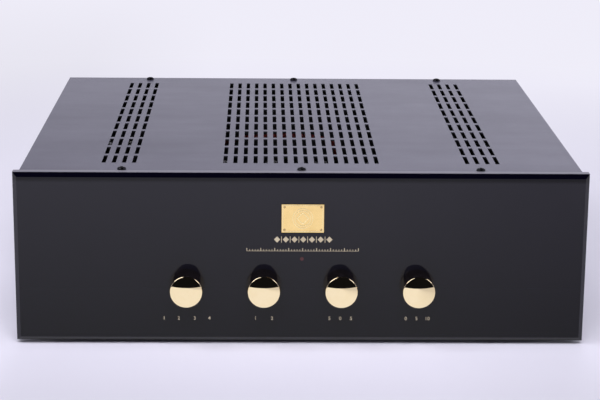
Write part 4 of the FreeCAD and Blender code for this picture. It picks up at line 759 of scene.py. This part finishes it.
# Glass with a silvered patch inside its top
def silveredGlass(tree, place, silverZ, look):
    edge = product(tree, noise(tree, place, 300, 3.0, 0.6), look["ragged"])
    silver = spread(tree, sums(tree, "ADD", axes(tree, place)[2], edge), silverZ, silverZ + look["fade"])
    smears = noise(tree, stretched(tree, place, (40, 40, 15)), 1.0, 3.0)
    return {"Base Color": blended(tree, silver, look["glass"], look["silver"]), "Metallic": silver,
            "Transmission Weight": sums(tree, "SUBTRACT", 1.0, silver),
            "Roughness": spread(tree, smears, 0.4, 0.7, 0.0, 0.08), "IOR": 1.5}


# Red lens: deep red plastic that glows faintly at its middle
def redLens(tree, place, look):
    across, _, up = axes(tree, stretched(tree, place, (1, 1, 1), -middle("led_lens")))
    glow = spread(tree, distanceFrom(tree, across, up), 0.0, look["radius"], look["glow"], 0.0)
    mottle = spread(tree, noise(tree, place, 900), 0.3, 0.7)
    return {"Base Color": blended(tree, mottle, look["deep"], look["bright"]), "Roughness": 0.16,
            "Emission Color": look["light"], "Emission Strength": glow, "Normal": softEdge(tree, 0.2 * mm)}


coreLook = {"sheet": 0.7 * mm, "steel": (0.10, 0.10, 0.105), "varnish": (0.05, 0.047, 0.045),
            "gap": (0.008, 0.008, 0.008)}
tapeLook = {"turn": 12 * mm, "lap": 0.8 * mm, "light": (0.36, 0.26, 0.07), "dark": (0.28, 0.19, 0.05),
            "seam": (0.14, 0.09, 0.025)}
boardLook = {"mesh": 55.0, "weave": 900.0, "lacquer": (0.012, 0.085, 0.03), "cloth": (0.02, 0.11, 0.04),
             "copper": (0.03, 0.16, 0.055)}
glassLook = {"glass": (0.96, 0.97, 0.96), "silver": (0.45, 0.44, 0.42), "ragged": 4 * mm, "fade": 3 * mm,
             "output": 14 * mm, "signal": 10 * mm}         # how far the silver reaches down from the top
lensLook = {"deep": (0.045, 0.008, 0.012), "bright": (0.08, 0.012, 0.018), "light": (1.0, 0.10, 0.08),
            "glow": 0.012, "radius": 1.5 * mm}
insulatorLook = {"lower": (0.45, 0.02, 0.018), "upper": (0.68, 0.68, 0.66), "rough": 0.3,
                 "grime": (0.02, 0.02, 0.02), "grimeShare": 0.18}
sleeveLook = insulatorLook | {"lower": (0.012, 0.016, 0.04), "upper": (0.42, 0.42, 0.44), "rough": 0.28,
                              "lid": 1.2 * mm}

dress(surface("core_iron", laminatedSteel, coreLook), "mains_core", "output_core", "choke_core")
dress(surface("coil_tape", coilTape, tapeLook), "mains_coil", "output_coil", "choke_coil")
dress(surface("board_laminate", circuitBoard, boardLook), "circuit_board")
for kind in ("output", "signal"):
    bulbs = kind + "_tube_bulbs"
    dress(surface(kind + "_glass", silveredGlass, high(bulbs).z - glassLook[kind], glassLook), bulbs)
dress(surface("red_lens", redLens, lensLook), "led_lens")
dress(surface("socket_insulator", splitByHeight, middle("line_shells").z, insulatorLook), "line_insulators")
dress(surface("capacitor_sleeve", splitByHeight, high("reservoir_capacitors").z - sleeveLook["lid"],
              sleeveLook), "reservoir_capacitors")
print("inner pieces and back dressed")

# Control knobs: turned and polished, with a domed face, on the CAD knobs' places

knobLook = {
    "base": 14.0 * mm,                  # radius beside the panel
    "face": 12.6 * mm,                  # radius at the domed face
    "dome": 3.0 * mm,
    "edge": 0.9 * mm,                   # rounding between side and face
    "baseEdge": 0.25 * mm,
    "bore": 3.05 * mm,
    "boreDepth": 11.0 * mm,
    "steps": 160,
    "grubRadius": 1.5 * mm,
    "grubLength": 1.2 * mm,
    "grubEdge": 0.1 * mm,
    "grubSocket": 0.75 * mm,
    "socketDepth": 0.9 * mm,
    "grubHeight": 8.0 * mm,             # from the knob's back to the grub screw
    "grubSink": 0.1 * mm,
    "grubSteps": 36,
}


def knobProfile(look, length):
    edge, baseEdge = look["edge"], look["baseEdge"]
    faceInner = look["face"] - edge
    domeRadius = (look["face"] ** 2 + look["dome"] ** 2) / (2 * look["dome"])
    domeHeight = length - domeRadius
    lean = math.degrees(math.asin(faceInner / (domeRadius - edge)))
    edgeHeight = domeHeight + math.sqrt((domeRadius - edge) ** 2 - faceInner ** 2)
    taper = math.degrees(math.atan2(look["base"] - look["face"], edgeHeight))
    side = arc(faceInner, edgeHeight, edge, taper, 90 - lean, 10)
    face = arc(0, domeHeight, domeRadius, 90 - lean, 90, 20)[1:-1] + [(0, length)]
    base = arc(look["base"] - baseEdge, baseEdge, baseEdge, -90, taper, 5)
    foot = [(0, look["boreDepth"]), (look["bore"], look["boreDepth"]), (look["bore"], 0)]
    return foot + base + side + face


def grubMesh(look):
    radius, edge, end = look["grubRadius"], look["grubEdge"], -look["grubLength"]
    return turnedMesh("grub", [
        (0, end), (radius, end), (radius, -edge), (radius - edge, 0), (look["grubSocket"], 0, 6),
        (look["grubSocket"], -look["socketDepth"], 6), (0, -look["socketDepth"])], look["grubSteps"])


def makeKnobs(look):
    for name in controls:
        node, body = "knob_" + name, name + "_control"
        back, front = high(node).y, low(node).y
        centre = middle(node)
        mesh = turnedMesh(node, knobProfile(look, back - front), look["steps"])
        placed(mesh, "front", (centre.x, back, centre.z))
        finishPiece("turned_" + node, mesh, "knob_gold", body, "knob_gold", node)
        wall = look["base"] - (look["base"] - look["face"]) * look["grubHeight"] / (back - front)
        grub = placed(grubMesh(look), "down",
                      (centre.x, back - look["grubHeight"], centre.z - wall + look["grubSink"]))
        finishPiece("grub_screw_" + name, grub, "black_oxide", body, "black_screw")


makeKnobs(knobLook)
print("knobs turned")

# Screws with a hexagon socket, in the places of the plain ones

screwLook = {"head": 3.5 * mm, "shank": 1.45 * mm, "tip": 0.5 * mm, "tipShare": 0.7, "rim": 0.5 * mm,
             "flat": 0.42, "crownSteps": 6, "socket": 1.25 * mm, "depth": 1.2 * mm, "steps": 36}


def screwMesh(look, length, height):
    crown = [(look["head"], 0), (look["head"], look["rim"])]
    for step in range(1, look["crownSteps"] + 1):
        angle = math.radians(90 * step / look["crownSteps"])
        radius = look["head"] * (look["flat"] + (1 - look["flat"]) * math.cos(angle))
        crown.append((radius, look["rim"] + (height - look["rim"]) * math.sin(angle)))
    floor = height - look["depth"]
    socket = [(look["socket"], height, 6), (look["socket"], floor, 6), (0, floor)]
    shank = [(0, -length), (look["shank"] * look["tipShare"], -length),
             (look["shank"], -length + look["tip"]), (look["shank"], 0)]
    return turnedMesh("screw", shank + crown + socket, look["steps"])


def makeScrews(look):
    dark = "black_oxide"
    first, last = low("cover_screws"), high("cover_screws")
    centre, inlet = middle("cover_screws"), middle("inlet_housing")
    across = last.x - first.x - 2 * look["head"]
    along = last.y - first.y - 2 * look["head"]
    inletReach = high("case_screws").x - look["head"] - inlet.x

    def rowsOf(facing, place, *grid):
        screw = screwMesh(look, coverTopZ - first.z, last.z - coverTopZ)
        return placed(laidOut(screw, dark, *grid), facing, place)

    top = rowsOf("up", (centre.x, centre.y, coverTopZ), 3, 2, across / 2, along)
    under = rowsOf("down", (centre.x, centre.y, low("base_plate").z), 3, 2, across / 2, along)
    rear = rowsOf("back", (inlet.x, high("inlet_housing").y, inlet.z), 2, 1, 2 * inletReach)
    finishPiece("cover_button_screws", top, dark, "case", "black_screw", "cover_screws")
    finishPiece("case_button_screws", [under, rear], dark, "case", "black_screw", "case_screws")


makeScrews(screwLook)
print("screws made")

# Marks of the front panel: plain numbers under the knobs, and a scale and a row of lozenges under the badge

marksLook = {
    "height": 2.8 * mm,
    "weight": 0.05 * mm,
    "drop": 26.8 * mm,                  # from a knob's middle to its numbers
    "relief": 0.04 * mm,
    "numbers": {
        "input": (("1", -18.0), ("2", -6.6), ("3", 6.0), ("4", 17.5)),      # text and offset in millimetres
        "tape": (("1", -6.5), ("2", 6.5)),
        "balance": (("5", -8.5), ("0", 0.0), ("5", 8.5)),
        "volume": (("0", -8.5), ("5", 0.0), ("10", 8.5)),
    },
    "rowDrop": 17.2 * mm, "rowX": 1.4 * mm, "rowWidth": 47.5 * mm, "rowHeight": 5.0 * mm, "lozenges": 7,
    "lozengeShare": 0.72, "stroke": 0.5 * mm,
    "scaleDrop": 25.3 * mm, "scaleX": 1.0 * mm, "scaleWidth": 87.0 * mm, "scaleHeight": 2.4 * mm,
    "scaleMarks": 41, "group": 5, "short": 0.42 * mm, "shortShare": 0.6, "tall": 0.6 * mm, "line": 0.3 * mm,
    "tallRelief": 1.3, "lineRelief": 1.15,     # marks that cross others stand a little higher
}


def makeMarks(look):
    ink = "mark_ink"
    relief = look["relief"]
    numbers = []
    for control, texts in look["numbers"].items():
        centre = middle("knob_" + control)
        for text, offset in texts:
            place = (centre.x + offset * mm, panelFaceY, centre.z - look["drop"])
            numbers.append(placed(letterMesh(text, look["height"], relief, look["weight"]), "front", place))
    finishPiece("panel_numbers", numbers, ink, "case", "badge_brass")

    rowHeight, scaleHeight = look["rowHeight"], look["scaleHeight"]
    count, group = look["lozenges"], look["group"]
    badgeZ = middle("badge_plate").z
    scaleZ = badgeZ - look["scaleDrop"]
    pitch = look["rowWidth"] / count
    scalePitch = look["scaleWidth"] / (look["scaleMarks"] - 1)
    lozenge = barMesh(pitch * look["lozengeShare"], rowHeight, relief, pointed=True)
    lozenges = laidOut(lozenge, ink, count, 1, pitch)
    strokes = laidOut(barMesh(look["stroke"], rowHeight, relief), ink, count - 1, 1, pitch)
    short = laidOut(barMesh(look["short"], scaleHeight * look["shortShare"], relief), ink,
                    look["scaleMarks"], 1, scalePitch)
    tall = laidOut(barMesh(look["tall"], scaleHeight, relief * look["tallRelief"]), ink,
                   (look["scaleMarks"] - 1) // group + 1, 1, scalePitch * group)
    line = barMesh(look["scaleWidth"], look["line"], relief * look["lineRelief"])
    parts = [placed(mesh, "front", (x, panelFaceY, z)) for mesh, x, z in (
        (lozenges, look["rowX"], badgeZ - look["rowDrop"]), (strokes, look["rowX"], badgeZ - look["rowDrop"]),
        (short, look["scaleX"], scaleZ - (1 - look["shortShare"]) / 2 * scaleHeight),
        (tall, look["scaleX"], scaleZ), (line, look["scaleX"], scaleZ - scaleHeight / 2))]
    finishPiece("panel_ornament", parts, ink, "case", "badge_brass")


makeMarks(marksLook)

# Badge: a raised line round its edge, and two rings round a lozenge

badgeLook = {"inset": 0.9 * mm, "line": 0.4 * mm, "relief": 0.2 * mm, "rings": (8.0 * mm, 6.3 * mm),
             "ringSteps": 96, "lozenge": 6.9 * mm, "lozengeLine": 0.52 * mm}


def makeBadge(look):
    lowest, highest = low("badge_plate"), high("badge_plate")
    centre = middle("badge_plate")
    width = highest.x - lowest.x - 2 * look["inset"]
    height = highest.z - lowest.z - 2 * look["inset"]
    line, relief = look["line"], look["relief"]
    pieces = frameOfBars(width, height, line, relief)
    pieces += [ringMesh(radius, line, relief, look["ringSteps"]) for radius in look["rings"]]
    pieces.append(ringMesh(look["lozenge"] / 2, look["lozengeLine"], relief, 4, 4))
    mesh = placed(joined("badge_relief", pieces), "front", (centre.x, lowest.y, centre.z))
    finishPiece("badge_relief", mesh, "relief_gold", "case", "badge_brass")


makeBadge(badgeLook)
print("marks and badge made")

# Marks of the back: numbers over the line sockets, signs over the speaker terminals, a line round each group

rearLook = {
    "height": 3.4 * mm, "weight": 0.06 * mm, "relief": 0.04 * mm, "line": 0.35 * mm,
    "socketColumns": 6, "socketPitch": 22.0 * mm, "numberRise": 6.75 * mm,
    "socketFrame": (132.0 * mm, 56.0 * mm), "postFrame": (98.0 * mm, 42.0 * mm), "frameRise": 3.0 * mm,
    "posts": 4, "postPitch": 24.0 * mm, "signRise": 14.0 * mm, "sign": 3.4 * mm, "stroke": 0.7 * mm,
    "uprightRelief": 1.3,               # a plus's upright stands a little higher than its level stroke
}


def makeRearMarks(look):
    relief = look["relief"]
    sockets, posts = middle("line_shells"), middle("post_collars")
    marks = []

    def mark(mesh, x, z):
        marks.append(placed(mesh, "back", (x, rearFaceY, z)))

    for column in range(look["socketColumns"]):
        x = sockets.x - look["socketPitch"] * (column - (look["socketColumns"] - 1) / 2)
        mark(letterMesh(str(column + 1), look["height"], relief, look["weight"]), x,
             high("line_shells").z + look["numberRise"])
    for post in range(look["posts"]):
        x = posts.x + look["postPitch"] * (post - (look["posts"] - 1) / 2)
        z = posts.z + look["signRise"]
        mark(barMesh(look["sign"], look["stroke"], relief), x, z)
        if post % 2 == 0:               # a plus over each red cap
            mark(barMesh(look["stroke"], look["sign"], relief * look["uprightRelief"]), x, z)
    for centre, frameSize in ((sockets, look["socketFrame"]), (posts, look["postFrame"])):
        for bar in frameOfBars(*frameSize, look["line"], relief):
            mark(bar, centre.x, centre.z + look["frameRise"])
    finishPiece("rear_marks", marks, "white_ink", "case", "socket_ceramic")


makeRearMarks(rearLook)

# A stroke and a ring on the two halves of the rocker, which lean away from its middle

rockerLook = {"tilt": 10.0, "end": 5.0 * mm, "reach": 7.99 * mm, "stroke": 0.6 * mm, "height": 3.0 * mm,
              "relief": 0.05 * mm, "sink": 0.01 * mm, "ringSteps": 48}


def makeRockerMarks(look):
    tilt = math.radians(look["tilt"])
    tip = look["end"] * math.cos(tilt) + look["reach"] * math.sin(tilt)
    pivot = Vector((middle("power_rocker").x, high("power_rocker").y - tip, middle("switch_frame").z))
    valley = look["end"] - look["reach"] * math.tan(tilt)
    relief, line = look["relief"], look["stroke"]
    ring = ringMesh(look["height"] / 2, line, relief, look["ringSteps"])
    marks = []
    for mesh, half in ((barMesh(line, look["height"], relief), 1), (ring, -1)):
        placed(mesh, "back", (0, 0, -look["sink"]))
        onFace = Vector((0, (valley + look["end"]) / 2, half * look["reach"] / 2))
        mesh.transform(Matrix.Translation(pivot) @ Matrix.Rotation(tilt, 4, "X")
                       @ Matrix.Translation(onFace) @ Matrix.Rotation(-half * tilt, 4, "X"))
        marks.append(mesh)
    finishPiece("rocker_marks", marks, "white_ink", "rocker", "socket_ceramic")


makeRockerMarks(rockerLook)
print("back marked")

# Small parts of the circuit board: rows of resistors on soldered wires, film capacitors and power resistors

partsLook = {
    "columns": 14, "pitch": 11.0 * mm, "rows": 4, "rowPitch": 52.0 * mm, "middle": (-6.0 * mm, -40.0 * mm),
    "body": 7.0 * mm, "radius": 1.0 * mm, "capRadius": 1.25 * mm, "lift": 1.7 * mm,
    "capEnds": ((0.8, 1.0), (1.0, 0.88), (1.0, 0.66)), "neck": 0.52,   # shares of radius and half length
    "wire": 0.3 * mm, "span": 10.4 * mm, "pad": 1.0 * mm, "padHeight": 0.5 * mm, "steps": 12,
    "films": 8, "filmPitch": 19.0 * mm, "filmY": 60.0 * mm, "film": (9.0 * mm, 4.5 * mm, 8.0 * mm),
    "filmEdge": 0.6 * mm, "filmChange": 0.12, "filmSeed": 5,
    "blocks": 6, "blockPitch": 24.0 * mm, "blockY": 121.0 * mm, "block": (16.0 * mm, 6.0 * mm, 6.0 * mm),
    "blockEdge": 0.5 * mm,
}


# A block with softened edges that stands in the XY plane
def blockMesh(length, width, height, edge):
    form = bmesh.new()
    bmesh.ops.create_cube(form, size=1.0)
    bmesh.ops.scale(form, vec=(length, width, height), verts=form.verts)
    bmesh.ops.translate(form, vec=(0, 0, height / 2), verts=form.verts)
    bmesh.ops.bevel(form, geom=form.edges, offset=edge, segments=2, profile=0.5, affect="EDGES")
    return meshOf(form, "block")


def resistorMesh(look):
    half, cap = look["body"] / 2, look["capRadius"]
    profile = [(0, -half), *((cap * across, -half * along) for across, along in look["capEnds"]),
               (look["radius"], -half * look["neck"])]
    profile += [(reach, -height) for reach, height in reversed(profile)]
    return placed(turnedMesh("resistor", profile, look["steps"]), "front", (0, 0, look["lift"]))


# Two legs with a soldered pad under each, joined by the wire through the body
def wireMesh(look):
    wire, lift, half, steps = look["wire"], look["lift"], look["span"] / 2, look["steps"]
    pad, top = look["pad"], look["padHeight"]
    through = turnedMesh("wire", [(0, -half), (wire, -half), (wire, half), (0, half)], steps)
    parts = [placed(through, "front", (0, 0, lift))]
    for side in (-1, 1):
        leg = turnedMesh("leg", [(0, 0), (pad, 0), (pad * 0.8, top * 0.4), (wire * 1.3, top),
                                 (wire, top * 1.4), (wire, lift), (0, lift + wire)], steps)
        parts.append(placed(leg, "up", (0, side * half, 0)))
    return joined("wires", parts)


# Resistor lacquer with brown and gold bands, counted from the middle of the row that the body stands in
def bandedLacquer(tree, place, look):
    _, along, _ = axes(tree, place)
    inRow = sums(tree, "PINGPONG", sums(tree, "SUBTRACT", along, look["rowY"]), look["rowPitch"] / 2)
    colour = blended(tree, spread(tree, noise(tree, place, 700), 0.3, 0.7), look["lacquer"], look["shade"])
    half = look["bandWidth"] / 2
    for start, band in look["bands"]:
        nearBand = sums(tree, "ABSOLUTE", sums(tree, "SUBTRACT", inRow, start))
        colour = blended(tree, spread(tree, nearBand, half, half - look["bandEdge"]), colour, band)
    return {"Base Color": colour, "Roughness": spread(tree, noise(tree, place, 300), 0.3, 0.7, 0.22, 0.4),
            "Normal": bumped(tree, noise(tree, place, 1500), 0.1, 0.03 * mm)}


lacquerLook = {
    "lacquer": (0.55, 0.42, 0.24), "shade": (0.47, 0.35, 0.20), "bandWidth": 0.5 * mm, "bandEdge": 0.03 * mm,
    "rowY": partsLook["middle"][1] + partsLook["rowPitch"] / 2,
    "rowPitch": partsLook["rowPitch"],
    "bands": ((0.3 * mm, (0.10, 0.03, 0.01)), (1.3 * mm, (0.30, 0.02, 0.01)), (2.6 * mm, (0.45, 0.30, 0.08))),
}
finishes["resistor_lacquer"] = surface("resistor_lacquer", bandedLacquer, lacquerLook)


def makeBoardParts(look):
    boardZ = high("circuit_board").z
    middleX, middleY = look["middle"]
    grid = (look["columns"], look["rows"], look["pitch"], look["rowPitch"])
    for name, shape, finish, slot, y, layout in (
        ("board_resistors", resistorMesh(look), "resistor_lacquer", "socket_ceramic", middleY, grid),
        ("board_wires", wireMesh(look), "solder", "zinc_steel", middleY, grid),
        ("board_film_capacitors", blockMesh(*look["film"], look["filmEdge"]), "film_box", "red_film",
         look["filmY"], (look["films"], 1, look["filmPitch"], 0.0, look["filmChange"], look["filmSeed"])),
        ("board_power_resistors", blockMesh(*look["block"], look["blockEdge"]), "socket_ceramic",
         "socket_ceramic", look["blockY"], (look["blocks"], 1, look["blockPitch"])),
    ):
        mesh = placed(laidOut(shape, finish, *layout), "up", (middleX, y, boardZ))
        finishPiece(name, mesh, finish, "case", slot)


makeBoardParts(partsLook)
print("board filled")
